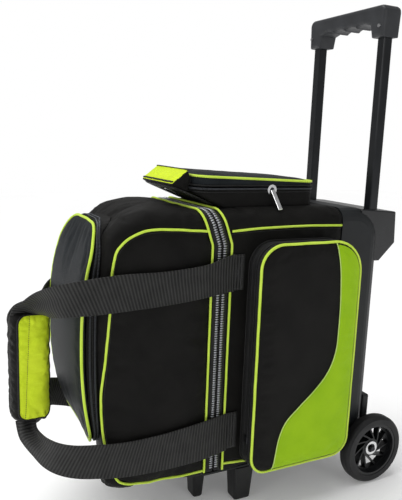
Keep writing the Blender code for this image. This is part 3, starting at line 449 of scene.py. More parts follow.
def sweep(name, path, normals, profile, material, body, closed=False):
    """Carry a section in millimetres, across a path and along its normals, down the path in metres."""
    shape = mapped_shape()
    count = len(path)
    rings = []
    lengths = [0.0]
    for i, (point, normal) in enumerate(zip(path, normals)):
        before = path[i - 1] if closed or i else point
        after = path[(i + 1) % count] if closed or i < count - 1 else point
        tangent = (after - before).normalized()
        side = tangent.cross(normal).normalized()
        up = side.cross(tangent).normalized()
        rings.append([shape.verts.new(point + (side * u + up * v) * MM) for u, v in profile])
        if i:
            lengths.append(lengths[-1] + (point - path[i - 1]).length)
    lengths.append(lengths[-1] + (path[0] - path[-1]).length)
    width = [0.0]
    for (u, v), (s, t) in zip(profile, profile[1:] + profile[:1]):
        width.append(width[-1] + math.hypot(s - u, t - v) * MM)
    if closed:
        rings.append(rings[0])
    quads(shape, [[*ring, ring[0]] for ring in rings], lambda i, k: (lengths[i], width[k]))
    if not closed:
        shape.faces.new(list(reversed(rings[0])))
        shape.faces.new(rings[-1])
    return piece(name, shape, material, body)


def surface_of(obj):
    graph = bpy.context.evaluated_depsgraph_get()
    shape = bmesh.new()
    shape.from_object(obj, graph)
    shape.transform(obj.matrix_world)
    tree = BVHTree.FromBMesh(shape)
    shape.free()
    return tree


def drape(points, direction, tree, lift=0.0):
    """Points dropped onto a surface along a direction and lifted in millimetres, with their normals."""
    direction = Vector(direction)
    landed = []
    normals = []
    for point in points:
        start = point - direction * 0.12
        place, normal, _, _ = tree.ray_cast(start, direction, 0.3)
        if place is None:
            place, normal, _, _ = tree.find_nearest(point)
        if normal.dot(direction) > 0:
            normal = -normal
        landed.append(place)
        normals.append(normal)
    soft = []
    for i in range(len(normals)):
        around = normals[max(i - 2, 0) : i + 3]
        soft.append(sum(around, Vector()).normalized())
    return [p + n * lift * MM for p, n in zip(landed, soft)], soft


def wobbled(points, normals, size=0.35, wavelength=0.03, seed=0.0):
    """Small hand-sewn irregularity along a path."""
    return [
        p + n * size * MM * noise.noise(p / wavelength + Vector((seed, 0, 0)))
        for p, n in zip(points, normals)
    ]


def piping(name, points, normals, body, closed=False, radius=PIPING, material=PIPING_CLOTH):
    points = wobbled(points, normals, 0.5)
    return sweep(name, points, normals, round_profile(radius, 10), material, body, closed)


def stitches(name, points, normals, body, pitch=3.4, material=THREAD, size=0.32):
    """A row of short thread stitches lying on a surface."""
    shape = bmesh.new()
    path = resampled(points, pitch * MM / 2)
    tree = point_tree(points)
    for a, b in zip(path[::2], path[1::2]):
        _, nearest, _ = tree.find(a)
        normal = normals[nearest]
        tangent = (b - a).normalized()
        side = tangent.cross(normal).normalized()
        rings = []
        for t, scale in ((-0.1, 0.2), (0.15, 1.0), (0.85, 1.0), (1.1, 0.2)):
            centre = a.lerp(b, t * 1.25)
            ring = []
            for k in range(5):
                angle = math.tau * k / 5
                offset = side * math.cos(angle) * size * 1.3 + normal * math.sin(angle) * size
                ring.append(shape.verts.new(centre + offset * scale * MM))
            rings.append(ring)
        bead(shape, rings)
    return piece(name, shape, material, body)


def coil(name, points, normals, body, material, width, height, pitch):
    """A zipper's coil: one rounded tooth after another across the path."""
    shape = bmesh.new()
    path = resampled(points, pitch * MM)
    tree = point_tree(points)
    for i, point in enumerate(path[:-1]):
        _, nearest, _ = tree.find(point)
        normal = normals[nearest]
        tangent = (path[i + 1] - point).normalized()
        side = tangent.cross(normal).normalized()
        length = pitch * 0.33
        rings = []
        for across, scale in ((-1, 0.3), (-0.8, 1), (-0.12, 1.15), (0.12, 1.15), (0.8, 1), (1, 0.3)):
            centre = point + side * across * width / 2 * MM
            ring = []
            for k in range(6):
                angle = math.tau * (k + 0.5) / 6
                offset = tangent * math.cos(angle) * length + normal * math.sin(angle) * height / 2
                ring.append(shape.verts.new(centre + offset * scale * MM))
            rings.append(ring)
        bead(shape, rings)
    return piece(name, shape, material, body)


# Soft bodies: a closed copy of each CAD solid, inflated as cloth and held along its seams.


def copy_of(node):
    shape = bmesh.new()
    shape.from_mesh(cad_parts[node].data)
    return shape


def hull_of(node):
    shape = copy_of(node)
    kept = bmesh.ops.convex_hull(shape, input=shape.verts)
    loose = [v for v in kept["geom_interior"] if isinstance(v, bmesh.types.BMVert)]
    bmesh.ops.delete(shape, geom=loose, context="VERTS")
    inner = [v for v in shape.verts if not v.link_faces]
    bmesh.ops.delete(shape, geom=inner, context="VERTS")
    return shape


def loft(outlines):
    """A closed solid from rings of points in metres, one after another."""
    shape = bmesh.new()
    rings = [[shape.verts.new(point) for point in outline] for outline in outlines]
    tube(shape, rings)
    shape.faces.new(list(reversed(rings[0])))
    shape.faces.new(rings[-1])
    return shape


def remeshed(name, shape, voxel, material):
    """An even skin of quads over a closed shape."""
    obj = piece(name, shape, material, None)
    remesh = obj.modifiers.new("skin", "REMESH")
    remesh.mode = "VOXEL"
    remesh.voxel_size = voxel * MM
    apply_all(obj)
    return obj


def apply_all(obj):
    graph = bpy.context.evaluated_depsgraph_get()
    mesh = bpy.data.meshes.new_from_object(obj.evaluated_get(graph))
    obj.modifiers.clear()
    old = obj.data
    obj.data = mesh
    bpy.data.meshes.remove(old)
    mesh.shade_smooth()


def coordinates(obj):
    values = np.empty(len(obj.data.vertices) * 3, np.float32)
    obj.data.vertices.foreach_get("co", values)
    return values.reshape(-1, 3).astype(float)


def set_coordinates(obj, values):
    obj.data.vertices.foreach_set("co", np.ascontiguousarray(values, np.float32).ravel())
    obj.data.update()


def normals_of(obj):
    values = np.empty(len(obj.data.vertices) * 3, np.float32)
    obj.data.vertices.foreach_get("normal", values)
    return values.reshape(-1, 3).astype(float)


def distances(obj, points):
    """Distance from each vertex to a cloud of points, and which point is nearest."""
    tree = point_tree(points)
    found = [tree.find(v.co) for v in obj.data.vertices]
    return np.array([f[2] for f in found]), np.array([f[1] for f in found])


inflating = []


def inflate(obj, seams, hold, cap, pressure, also_held=None):
    """Hold a soft piece along its seams and have it join the one simulation that they all share."""
    rest = coordinates(obj)
    far, _ = distances(obj, seams)
    held = far < hold * MM
    if also_held is not None:
        held |= also_held(rest)
    group = obj.vertex_groups.new(name="held")
    group.add([int(i) for i in np.flatnonzero(held)], 1.0, "REPLACE")
    cloth = obj.modifiers.new("cloth", "CLOTH")
    settings = cloth.settings
    settings.quality = 4
    settings.mass = 0.3
    settings.tension_stiffness = 12
    settings.compression_stiffness = 6
    settings.shear_stiffness = 4
    settings.bending_stiffness = 0.6
    settings.use_pressure = True
    settings.uniform_pressure_force = pressure
    settings.shrink_min = -0.02
    settings.vertex_group_mass = "held"
    settings.effector_weights.gravity = 0
    cloth.collision_settings.use_collision = False
    cloth.point_cache.frame_start = 1
    cloth.point_cache.frame_end = SETTLE_FRAMES
    inflating.append((obj, rest, cap * MM))


def settle():
    """Run the simulation and keep each piece's movement below its cap."""
    if not inflating:
        return
    for step in range(1, SETTLE_FRAMES + 1):
        bpy.context.scene.frame_set(step)
    for obj, rest, cap in inflating:
        apply_all(obj)
        moved = coordinates(obj) - rest
        length = np.linalg.norm(moved, axis=1, keepdims=True)
        limited = np.minimum(length, cap * np.tanh(length / cap))
        set_coordinates(obj, rest + moved * limited / np.maximum(length, 1e-9))
    bpy.context.scene.frame_set(1)


def pucker(obj, seams, depth, reach, wavelength, seed=0.0):
    """Gathers where cloth is sewn into a seam: small waves across it that fade within a reach."""
    far, nearest = distances(obj, seams)
    run = [0.0]
    for a, b in zip(seams, seams[1:]):
        run.append(run[-1] + (b - a).length)
    run = np.array(run)[nearest]
    wave = np.array([noise.noise(Vector((r / (wavelength * MM), seed, 0))) for r in run])
    fade = np.clip(far / (reach * 0.25 * MM), 0, 1) * np.exp(-((far / (reach * MM)) ** 2))
    co = coordinates(obj) + normals_of(obj) * (wave * fade * depth * MM)[:, None]
    set_coordinates(obj, co)


def rumple(obj, depth, size, seed=0.0, stretch=(1, 1, 1)):
    """Broad, shallow unevenness of cloth over padding, and a few sharper creases."""
    co = coordinates(obj)
    scale = np.array(stretch) / (size * MM)
    waves = np.empty(len(co))
    for i, point in enumerate(co * scale):
        p = Vector(point) + Vector((seed, 0, 0))
        crease = 1 - abs(noise.noise(p * 1.7))
        waves[i] = noise.noise(p) + 0.5 * max(crease - 0.8, 0) * 4
    set_coordinates(obj, co + normals_of(obj) * (waves * depth * MM)[:, None])


def subdivide(obj):
    modifier = obj.modifiers.new("smooth", "SUBSURF")
    modifier.levels = 1
    modifier.render_levels = 1
    apply_all(obj)


def thicken(obj, thickness, offset):
    solid = obj.modifiers.new("thickness", "SOLIDIFY")
    solid.thickness = thickness * MM
    solid.offset = offset
    return solid


def opened(obj, is_open_face):
    """Remove the faces over an opening and give the cloth its thickness, lined inside."""
    shape = bmesh.new()
    shape.from_mesh(obj.data)
    gone = [f for f in shape.faces if is_open_face(f)]
    bmesh.ops.delete(shape, geom=gone, context="FACES")
    shape.to_mesh(obj.data)
    shape.free()
    obj.data.materials.append(LINING_CLOTH)
    thicken(obj, CLOTH_WALL, -1).material_offset = 1
    apply_all(obj)


def bag_axes(co):
    """X, Y and Z in the bag's own millimetres of an array of places in metres."""
    return ((co - np.array(DATUM)) / MM).T


def sink(y, z):
    """How far the top of the front half sinks at a place."""
    return 12 * np.clip((-y - 90) / 120, 0, 1) ** 1.5 * np.clip((z - 430) / 126, 0, 1)


def bow(x, y, z):
    """How far back the front's cloth sits at a place, as it curves away above and below."""
    height = np.abs((z - 345) / 185)
    near = np.clip((-y - 212) / 36, 0, 1)
    far = np.clip((-y - 120) / 110, 0, 1)
    side = np.clip((95 - x) / 90, 0, 1)
    return (24 + 8 * side) * np.minimum(height, 1.15) ** 2.3 * (near + (far - near) * side)


def bowed(obj):
    """Curve the front of a piece, and round off the front half's top and bottom."""
    co = coordinates(obj)
    x, y, z = bag_axes(co)
    lift = 13 * np.clip((-y - 45) / 60, 0, 1) * np.clip((112 - z) / 36, 0, 1)
    co[:, 1] += bow(x, y, z) * MM
    co[:, 2] += (lift - sink(y, z)) * MM
    set_coordinates(obj, co)


def bowed_points(points):
    """The same curve for points in metres."""
    result = []
    for point in points:
        x, y, z = (point - DATUM) / MM
        result.append(point + Vector((0, float(bow(x, y, z)), -float(sink(y, z)))) * MM)
    return result


# Main body: the rear half, the front half and the moulded back.

FRONT_SEAM = [
    (-36, 523),
    (-119, 529),
    (-162, 525),
    (-190, 508),
    (-203, 480),
    (-208, 397),
    (-214, 319),
    (-219, 253),
    (-215, 186),
    (-198, 124),
    (-172, 103),
    (-100, 95),
    (-36, 96),
]
REAR_TOP_SEAM = [(3, 522), (60, 525), (150, 526), (233, 525)]
REAR_LOW_SEAM = [(3, 101), (60, 96), (150, 91), (233, 90)]


def side_path(points, sign, step=5):
    """A path drawn on the side of the bag, as points outside it to drape from."""
    x = sign * (HALF + 2)
    return smoothed([at(x, y + float(bow(x, y, z)), z) for y, z in points], step * MM)


def body_section(y):
    """The bag's section at y, as a ring of points in metres."""
    low = (-HALF, BOTTOM, EDGE_ROUND), (HALF, BOTTOM, EDGE_ROUND)
    ring = rounded([*low, (HALF, TOP, EDGE_ROUND), (-HALF, TOP, EDGE_ROUND)], 0, 6)
    depth = local_box("back_shell")[0].y
    fade = max(1 - y / (depth / 2), 0)
    return [at(x, y + lean(z) * fade, z) for x, z in ring]


def rear_half():
    back = local_box("back_shell")[0].y - 0.3
    shape = loft([body_section(y) for y in (0, 20, 40, 60, 90, 118, back)])
    obj = remeshed("rear_half_cloth", shape, 6, BLACK_CLOTH)
    tree = surface_of(obj)
    seams = []
    for _, sign in SIDES:
        for points in (REAR_TOP_SEAM, REAR_LOW_SEAM):
            seams += drape(side_path(points, sign), (-sign, 0, 0), tree)[0]
    pocket_low, pocket_high = SIDE_LID

    def held(co):
        x, y, z = bag_axes(co)
        ends = (y < 6) | (y > back - 6)
        pocket = (np.abs(x - HALF) < 8) & (y > pocket_low.y - 8) & (y < pocket_high.y)
        pocket &= (z > pocket_low.z - 6) & (z < pocket_high.z + 4)
        anchor = (np.abs(x) > HALF - 8) & (y < 30)
        return ends | pocket | anchor

    inflate(obj, seams, 5, 2.6, 2.0, held)
    return obj, seams


def finish_rear(obj, seams):
    pucker(obj, seams, 0.9, 16, 9)
    rumple(obj, 0.7, 55, 3.0)
    tree = surface_of(obj)
    for word, sign in SIDES:
        for part, points in (("top", REAR_TOP_SEAM), ("low", REAR_LOW_SEAM)):
            path = drape(side_path(points, sign, 3), (-sign, 0, 0), tree, PIPING * 0.7)
            piping(f"rear_{part}_piping_{word}", *path, "bag")
            offset = -5 if part == "top" else 5
            beside = [(y, z + offset) for y, z in points]
            row = drape(side_path(beside, sign, 3), (-sign, 0, 0), tree, 0.1)
            stitches(f"rear_{part}_stitches_{word}", *row, "bag")
    back = local_box("back_shell")[0].y
    edge = DATUM.y + 3 * MM
    far_edge = DATUM.y + (back - 3) * MM

    def end_face(face):
        y = face.calc_center_median().y
        leaning = edge + lean((face.calc_center_median().z - DATUM.z) / MM) * MM
        return (y < leaning and face.normal.y < -0.75) or (y > far_edge and face.normal.y > 0.75)

    opened(obj, end_face)
    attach(obj, "bag")
    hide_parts("rear_shell")
    piping("rear_opening_piping", *arch(3.5, 90, PIPING * 0.8), "bag")


def front_half():
    obj = remeshed("front_half_cloth", hull_of("front_shell"), 6, BLACK_CLOTH)
    bowed(obj)
    tree = surface_of(obj)
    seams = []
    for _, sign in SIDES:
        seams += drape(side_path(FRONT_SEAM, sign), (-sign, 0, 0), tree)[0]
    rim = local_box("front_shell")[1].y

    def held(co):
        x, y, z = bag_axes(co)
        leaning = np.array([lean(height) for height in z])
        pocket = (y < -190) & (np.abs(x) < FRONT_DOOR[1].x + 2)
        pocket &= (z > FRONT_DOOR[0].z - 6) & (z < FRONT_DOOR[1].z + 6)
        return (y > rim + leaning - 6) | pocket

    inflate(obj, seams, 5, 5.5, 3.0, held)
    return obj, seams


def finish_front(obj, seams):
    half = len(seams) // 2
    pucker(obj, seams[:half], 1.3, 20, 11)
    pucker(obj, seams[half:], 1.3, 20, 11, 5.0)
    rumple(obj, 2.3, 62, 8.0, (1, 1, 0.75))
    tree = surface_of(obj)
    for word, sign in SIDES:
        path = drape(side_path(FRONT_SEAM, sign, 3), (-sign, 0, 0), tree, PIPING * 0.7)
        piping(f"front_side_piping_{word}", *path, "front_half")
        centre = Vector((-120, 310))
        beside = [(y + (centre.x - y) * 0.04, z + (centre.y - z) * 0.02) for y, z in FRONT_SEAM]
        row = drape(side_path(beside, sign, 3), (-sign, 0, 0), tree, 0.1)
        stitches(f"front_side_stitches_{word}", *row, "front_half")
    rim = DATUM.y + (local_box("front_shell")[1].y - 3) * MM

    def end_face(face):
        centre = face.calc_center_median()
        return centre.y > rim + lean((centre.z - DATUM.z) / MM) * MM and face.normal.y > 0.75

    opened(obj, end_face)
    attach(obj, "front_half")
    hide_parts("front_shell")
    piping("front_opening_piping", *arch(-33, 92, PIPING * 0.8), "front_half")


def main_zipper():
    """Two woven tapes around the opening, each with its row of coil."""
    for word, body, y_tape, width, y_coil in (
        ("front", "front_half", -22.4, 13.6, -19.5),
        ("rear", "bag", -6.8, 12.0, -9.3),
    ):
        path, normals = arch(y_tape, 90, -0.6)
        tape = sweep(f"{word}_zipper_tape", path, normals, flat_profile(width, 1.6, 0.6), TAPE, body)
        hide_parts(f"{word}_zip_tape")
        path, normals = arch(y_coil, 94, 1.1)
        row = coil(f"{word}_zipper_coil", path, normals, body, SILVER_COIL, 6.6, 2.4, 4.2)
        for offset in (-4.2, 4.6):
            path, normals = arch(y_coil + offset, 94, 0.6)
            stitches(f"{word}_tape_stitches_{'in' if offset > 0 else 'out'}", path, normals, body)


def hinge_cloth():
    low, high = local_box("hinge_strip")
    middle = (low + high) / 2
    path = [at(x, middle.y, middle.z) for x in np.linspace(low.x, high.x, 60)]
    ups = [Vector((0, 0, 1))] * len(path)
    strip = sweep("hinge_cloth", path, ups, flat_profile(high.y - low.y, 2.0), BLACK_CLOTH, "bag")
    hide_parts("hinge_strip")


# Pockets.


def ring_path(corners, plane, inset=0.0, step=4.0):
    """A pocket's outline as a closed path in metres, with normals pointing outwards from it."""
    outline = rounded(corners, inset)
    path = resampled([plane(u, v) for u, v in outline], step * MM, True)
    count = len(path)
    centre = sum(path, Vector()) / count
    normals = []
    for i, point in enumerate(path):
        tangent = (path[(i + 1) % count] - path[i - 1]).normalized()
        outwards = point - centre
        normals.append((outwards - tangent * outwards.dot(tangent)).normalized())
    return path, normals


def gusset(name, node, body, corners, plane_at, low, high, material):
    """The cloth wall of a pocket: a closed band around its outline, slightly bulged and uneven."""
    shape = mapped_shape()
    levels = np.linspace(0, 1, 9)
    step = 4
    rings = []
    for level in levels:
        path, normals = ring_path(corners, plane_at(low + (high - low) * level), 0.4, step)
        ring = []
        for p, n in zip(path, normals):
            swell = (1.2 + 0.8 * noise.noise(p * 28)) * math.sin(math.pi * level)
            ring.append(shape.verts.new(p + n * swell * MM))
        rings.append([*ring, ring[0]])
    quads(shape, rings, lambda j, i: (i * step * MM, levels[j] * abs(high - low) * MM))
    obj = piece(name, shape, material, None)
    thicken(obj, 2.2, -1)
    apply_all(obj)
    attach(obj, body)
    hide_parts(node)
    return obj


def side_plane(x):
    return lambda u, v: at(x, u, v)


def front_plane(y):
    return lambda u, v: at(u, y, v)


def top_plane(z):
    return lambda u, v: at(u, v, z)


def finish_door(obj, seams, node, body, depth=0.8):
    pucker(obj, seams, depth, 13, 8)
    subdivide(obj)
    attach(obj, body)
    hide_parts(node)


def side_door():
    obj = remeshed("side_pocket_door", copy_of("side_pocket_lid"), 4, BLACK_CLOTH)
    seams, _ = ring_path(SIDE_CORNERS, side_plane(SIDE_LID[1].x - 3), 3.0, 3)
    inflate(obj, seams, 7, 4.0, 4.0)
    return obj, seams


# The edge of the lime panel on the side pocket, from its top right to its foot.
SWOOSH = [
    (190, 500), (199, 450), (203, 400), (204, 345), (201, 300), (185, 262),
    (158, 233), (128, 208), (103, 185), (90, 158), (84, 126), (80, 94),
]


def swoosh(t):
    """A point of the lime panel's edge, from its start at 0 to its end at 1."""
    place = t * (len(SWOOSH) - 1)
    i = min(int(place), len(SWOOSH) - 2)
    corners = (max(i - 1, 0), i, i + 1, min(i + 2, len(SWOOSH) - 1))
    return catmull_rom(*(Vector(SWOOSH[k]) for k in corners), place - i)


def lime_panel(tree):
    """The lime cloth sewn over the right and the foot of the side pocket, inside a thin light cord."""
    face = SIDE_LID[1].x
    rim = rounded(SIDE_CORNERS, 4.5, 10)
    start = min(range(len(rim)), key=lambda i: (Vector(rim[i]) - swoosh(0)).length)
    end = min(range(len(rim)), key=lambda i: (Vector(rim[i]) - swoosh(1)).length)
    chosen = []
    i = start
    while i != end:
        chosen.append(Vector((*rim[i], 0)))
        i = (i - 1) % len(rim)
    chosen.append(Vector((*rim[end], 0)))
    rows = 150
    outer = resampled(chosen, sum((b - a).length for a, b in zip(chosen, chosen[1:])) / rows)
    columns = 26
    shape = bmesh.new()
    grid = []
    for row in range(rows + 1):
        inner = swoosh(row / rows)
        border = Vector((outer[min(row, len(outer) - 1)].x, outer[min(row, len(outer) - 1)].y))
        starts = [at(face + 4, *inner.lerp(border, c / columns)) for c in range(columns + 1)]
        landed, _ = drape(starts, (-1, 0, 0), tree, 0.7)
        grid.append([shape.verts.new(p) for p in landed])
    for row in range(rows):
        for c in range(columns):
            shape.faces.new((grid[row][c], grid[row][c + 1], grid[row + 1][c + 1], grid[row + 1][c]))
    bmesh.ops.remove_doubles(shape, verts=shape.verts, dist=0.00005)
    panel = piece("side_pocket_lime_panel", shape, LIME_CLOTH, None)
    rumple(panel, 0.35, 40, 2.0)
    thicken(panel, 0.9, -1)
    apply_all(panel)
    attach(panel, "side_lid")
    edge = [at(face + 4, *swoosh(t)) for t in np.linspace(0, 1, 160)]
    path, normals = drape(edge, (-1, 0, 0), tree, 1.0)
    piping("side_pocket_light_cord", path, normals, "side_lid", radius=1.0, material=PALE_THREAD)


def side_pocket(door, seams):
    finish_door(door, seams, "side_pocket_lid", "side_lid")
    tree = surface_of(door)
    lime_panel(tree)
    low = local_box("side_pocket_gusset")[0].x
    mouth = SIDE_LID[0].x
    wall = gusset(
        "side_pocket_wall", "side_pocket_gusset", "bag", SIDE_CORNERS, side_plane, HALF + 0.5, mouth, TAPE
    )
    path, normals = ring_path(SIDE_CORNERS, side_plane(SIDE_LID[1].x - 4), -0.6, 3)
    piping("side_pocket_piping", path, normals, "side_lid", True, 2.5)
    path, normals = ring_path(SIDE_CORNERS, side_plane(mouth - 7.5), -1.8, 3)
    coil("side_pocket_coil", path, normals, "bag", BLACK_COIL, 4.0, 1.6, 2.2)
    for x in (mouth - 19, mouth - 3):
        stitches(f"side_pocket_stitches_{round(x)}", *ring_path(SIDE_CORNERS, side_plane(x), -1.3, 3), "bag")
    path, normals = ring_path(SIDE_CORNERS, side_plane(low + 2.0), -1.2, 4)
    piping("side_pocket_base_seam", path, normals, "bag", True, 1.6, BINDING)


def front_door():
    obj = remeshed("front_pocket_door_pad", copy_of("front_pocket_panel"), 4, SLATE_CLOTH)
    bowed(obj)
    seams = bowed_points(ring_path(FRONT_CORNERS, front_plane(FRONT_DOOR[0].y + 2), 3.0, 3)[0])
    inflate(obj, seams, 7, 3.0, 2.5)
    return obj, seams


def front_pocket(door, seams):
    finish_door(door, seams, "front_pocket_panel", "front_pocket_door", 1.1)
    wall = remeshed("front_pocket_wall", copy_of("front_pocket_gusset"), 2.5, BLACK_CLOTH)
    bowed(wall)
    rumple(wall, 0.6, 30, 6.0)
    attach(wall, "front_half")
    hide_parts("front_pocket_gusset")
    mouth = FRONT_DOOR[1].y
    path, normals = ring_path(FRONT_CORNERS, front_plane(FRONT_DOOR[0].y + 2.5), 0.3, 3)
    piping("front_pocket_piping", bowed_points(path), normals, "front_pocket_door", True, 2.4)
    for y, word in ((mouth + 6.5, "outer"), (mouth + 15, "inner")):
        path, normals = ring_path(FRONT_CORNERS, front_plane(y), -0.9, 3)
        coil(f"front_pocket_coil_{word}", bowed_points(path), normals, "front_half", DARK_COIL, 4.0, 1.7, 2.2)
    path, normals = ring_path(FRONT_CORNERS, front_plane(mouth + 10.8), -0.5, 3)
    stitches("front_pocket_stitches", bowed_points(path), normals, "front_half")


def top_door():
    obj = remeshed("top_pocket_door", copy_of("top_pocket_lid"), 3.5, SLATE_CLOTH)
    seams = []
    for inset, z in ((3, TOP_LID[1].z - 4), (1, TOP_LID[0].z)):
        seams += ring_path(TOP_CORNERS, top_plane(z), inset, 3)[0]
    inflate(obj, seams, 6, 4.5, 4.0)
    return obj, seams


def sloped(path, drop):
    """Lower a path's back so that it follows the slope of the top pocket's lid."""
    front = TOP_LID[0].y
    depth = TOP_LID[1].y - front
    return [p - Vector((0, 0, drop * ((p.y - DATUM.y) / MM - front) / depth * MM)) for p in path]


def top_pocket(door, seams):
    finish_door(door, seams, "top_pocket_lid", "top_lid", 0.9)
    tray = remeshed("top_pocket_wall", copy_of("top_pocket_tray"), 2.5, BLACK_CLOTH)
    rumple(tray, 0.5, 28, 4.0)
    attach(tray, "bag")
    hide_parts("top_pocket_tray")
    low, high = TOP_LID
    path, normals = ring_path(TOP_CORNERS, top_plane(high.z - 3.5), 1.0, 3)
    piping("top_pocket_piping", sloped(path, 9), normals, "top_lid", True, 2.2)
    path, normals = ring_path(TOP_CORNERS, top_plane(low.z - 2.4), -0.9, 3)
    coil("top_pocket_coil", path, normals, "bag", DARK_COIL, 4.0, 1.6, 2.2)
    path, normals = ring_path(TOP_CORNERS, top_plane(low.z + 3.2), -0.4, 3)
    piping("top_pocket_seam", path, normals, "top_lid", True, 1.3, BINDING)
    path, normals = ring_path(TOP_CORNERS, top_plane(low.z - 8), -0.5, 3)
    piping("top_pocket_tape_edge", path, normals, "bag", True, 1.1, BINDING)


# Carry straps, their padded wrap and the grab handle.

STRAP_SIDE = {
    # x, y, then the upper and lower edge of the band along the side of the bag
    "upper": [
        (123.5, 8, 484, 419), (126, -8, 481, 419), (130, -50, 470, 414), (131, -120, 464, 408),
        (131, -185, 464, 405), (129, -228, 461, 403),
    ],
    "lower": [
        (123.5, 8, 199, 128), (126, -8, 198, 127), (130, -50, 194, 123), (131, -120, 187, 122),
        (131, -185, 186, 125), (129, -228, 190, 131),
    ],
    "far upper": [
        (123.5, 8, 484, 419), (126, -8, 480, 417), (129, -50, 465, 405), (130, -120, 445, 386),
        (130, -185, 427, 368), (127, -226, 414, 354),
    ],
    "far lower": [
        (123.5, 8, 199, 128), (126, -8, 199, 128), (129, -50, 197, 127), (130, -120, 195, 128),
        (130, -185, 197, 134), (127, -226, 204, 146),
    ],
}
STRAP_TURN = {
    # the upper edge, then the lower edge, round the corner and up to the wrap
    "upper": [
        ((122, -262, 456), (122, -260, 401)), ((106, -285, 449), (107, -281, 397)),
        ((80, -300, 438), (82, -291, 391)), ((54, -312, 425), (58, -292, 386)),
        ((34, -325, 409), (38, -289, 382)), ((20, -337, 396), (24, -286, 378)),
        ((15, -341, 382), (19, -284, 370)),
    ],
    "lower": [
        ((122, -262, 192), (122, -264, 136)), ((106, -283, 192), (106, -289, 140)),
        ((80, -295, 190), (80, -305, 143)), ((52, -300, 187), (50, -316, 149)),
        ((33, -302, 186), (28, -326, 158)), ((22, -303, 189), (16, -333, 171)),
        ((17, -303, 200), (14, -336, 197)),
    ],
    "far upper": [
        ((117, -248, 405), (117, -248, 346)), ((98, -261, 400), (98, -261, 346)),
        ((68, -273, 398), (68, -272, 350)), ((42, -288, 397), (42, -279, 356)),
        ((24, -308, 395), (26, -284, 364)), ((15, -328, 391), (18, -286, 370)),
        ((13, -338, 382), (16, -286, 372)),
    ],
    "far lower": [
        ((115, -250, 212), (115, -250, 156)), ((95, -262, 214), (95, -263, 158)),
        ((68, -270, 213), (68, -274, 158)), ((44, -277, 210), (42, -288, 162)),
        ((27, -284, 206), (24, -304, 168)), ((18, -288, 203), (16, -322, 178)),
        ((15, -290, 204), (14, -332, 197)),
    ],
}


def strap_edges(run, sign):
    """The upper and the lower edge of one band, point by point, in metres."""
    rows = [((x, y, top), (x, y, low)) for x, y, top, low in STRAP_SIDE[run]] + STRAP_TURN[run]
    edges = [smoothed([at(sign * row[edge][0], *row[edge][1:]) for row in rows], MM) for edge in (0, 1)]
    count = 110
    return [[fine[round(i * (len(fine) - 1) / count)] for i in range(count + 1)] for fine in edges]


def strap_run(word, sign, run):
    """One webbing band from its sewn end round the front of the bag into the padded wrap."""
    tops, lows = strap_edges(run if sign > 0 else "far " + run, sign)
    shape = mapped_shape()
    across = np.linspace(0, 1, 15)
    grid = []
    lengths = [0.0]
    for i, (top, low) in enumerate(zip(tops, lows)):
        if i:
            lengths.append(lengths[-1] + ((top + low - tops[i - 1] - lows[i - 1]) / 2).length)
        ahead = tops[min(i + 1, len(tops) - 1)] - tops[max(i - 1, 0)]
        ahead += lows[min(i + 1, len(lows) - 1)] - lows[max(i - 1, 0)]
        normal = ahead.cross(top - low).normalized() * sign
        squeeze = max(1 - (top - low).length / (58 * MM), 0)
        row = []
        for t in across:
            fold = squeeze * 9 * math.cos(math.tau * 1.5 * t) + 0.8 * math.sin(math.pi * t)
            fold += 0.5 * noise.noise((low.lerp(top, t)) * 22)
            row.append(shape.verts.new(low.lerp(top, t) + normal * fold * MM))
        grid.append(row)
    quads(shape, grid, lambda i, k: (lengths[i], across[k] * STRAP_WIDTH * MM))
    strap = piece(f"carry_webbing_{run}_{word}", shape, WEBBING, None)
    thicken(strap, 2.2, 0)
    edge = strap.modifiers.new("edge", "BEVEL")
    edge.width = 0.7 * MM
    edge.segments = 2
    edge.limit_method = "ANGLE"
    apply_all(strap)
    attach(strap, f"strap_{word}")
    return strap


def sewn_end(word, sign, run):
    """The strap's end sewn to the side: a flat patch with a box and a cross of stitches."""
    _, _, top, low = STRAP_SIDE[run][0]
    x = HALF + 3.2
    path = [at(sign * x, y, (top + low) / 2) for y in np.linspace(3.5, 28, 9)]
    normals = [Vector((sign, 0, 0))] * len(path)
    patch = sweep(
        f"strap_end_{run}_{word}", path, normals, flat_profile(top - low - 3, 2.4, 0.3), WEBBING, "bag"
    )
    box = [(6, low + 5), (25, low + 5), (25, top - 5), (6, top - 5), (6, low + 5)]
    cross = [[(6, low + 5), (25, top - 5)], [(6, top - 5), (25, low + 5)]]
    rows = [box, *cross, [(9.5, low + 5), (9.5, top - 5)], [(21.5, low + 5), (21.5, top - 5)]]
    for i, corners in enumerate(rows):
        row = resampled([at(sign * (x + 1.7), y, z) for y, z in corners], 3 * MM)
        ups = [Vector((sign, 0, 0))] * len(row)
        stitches(f"strap_end_{run}_{word}_row_{i}", row, ups, "bag", 3.0, size=0.45)
    return patch


WRAP_LOW = (-343, 193)
WRAP_HIGH = (-277, 390)


def wrap_outline(inset):
    (y_low, z_low), (y_high, z_high) = WRAP_LOW, WRAP_HIGH
    corners = [(y_low, z_low, 19), (y_high, z_low, 16), (y_high, z_high, 12), (y_low, z_high, 19)]
    return rounded(corners, inset, 6)


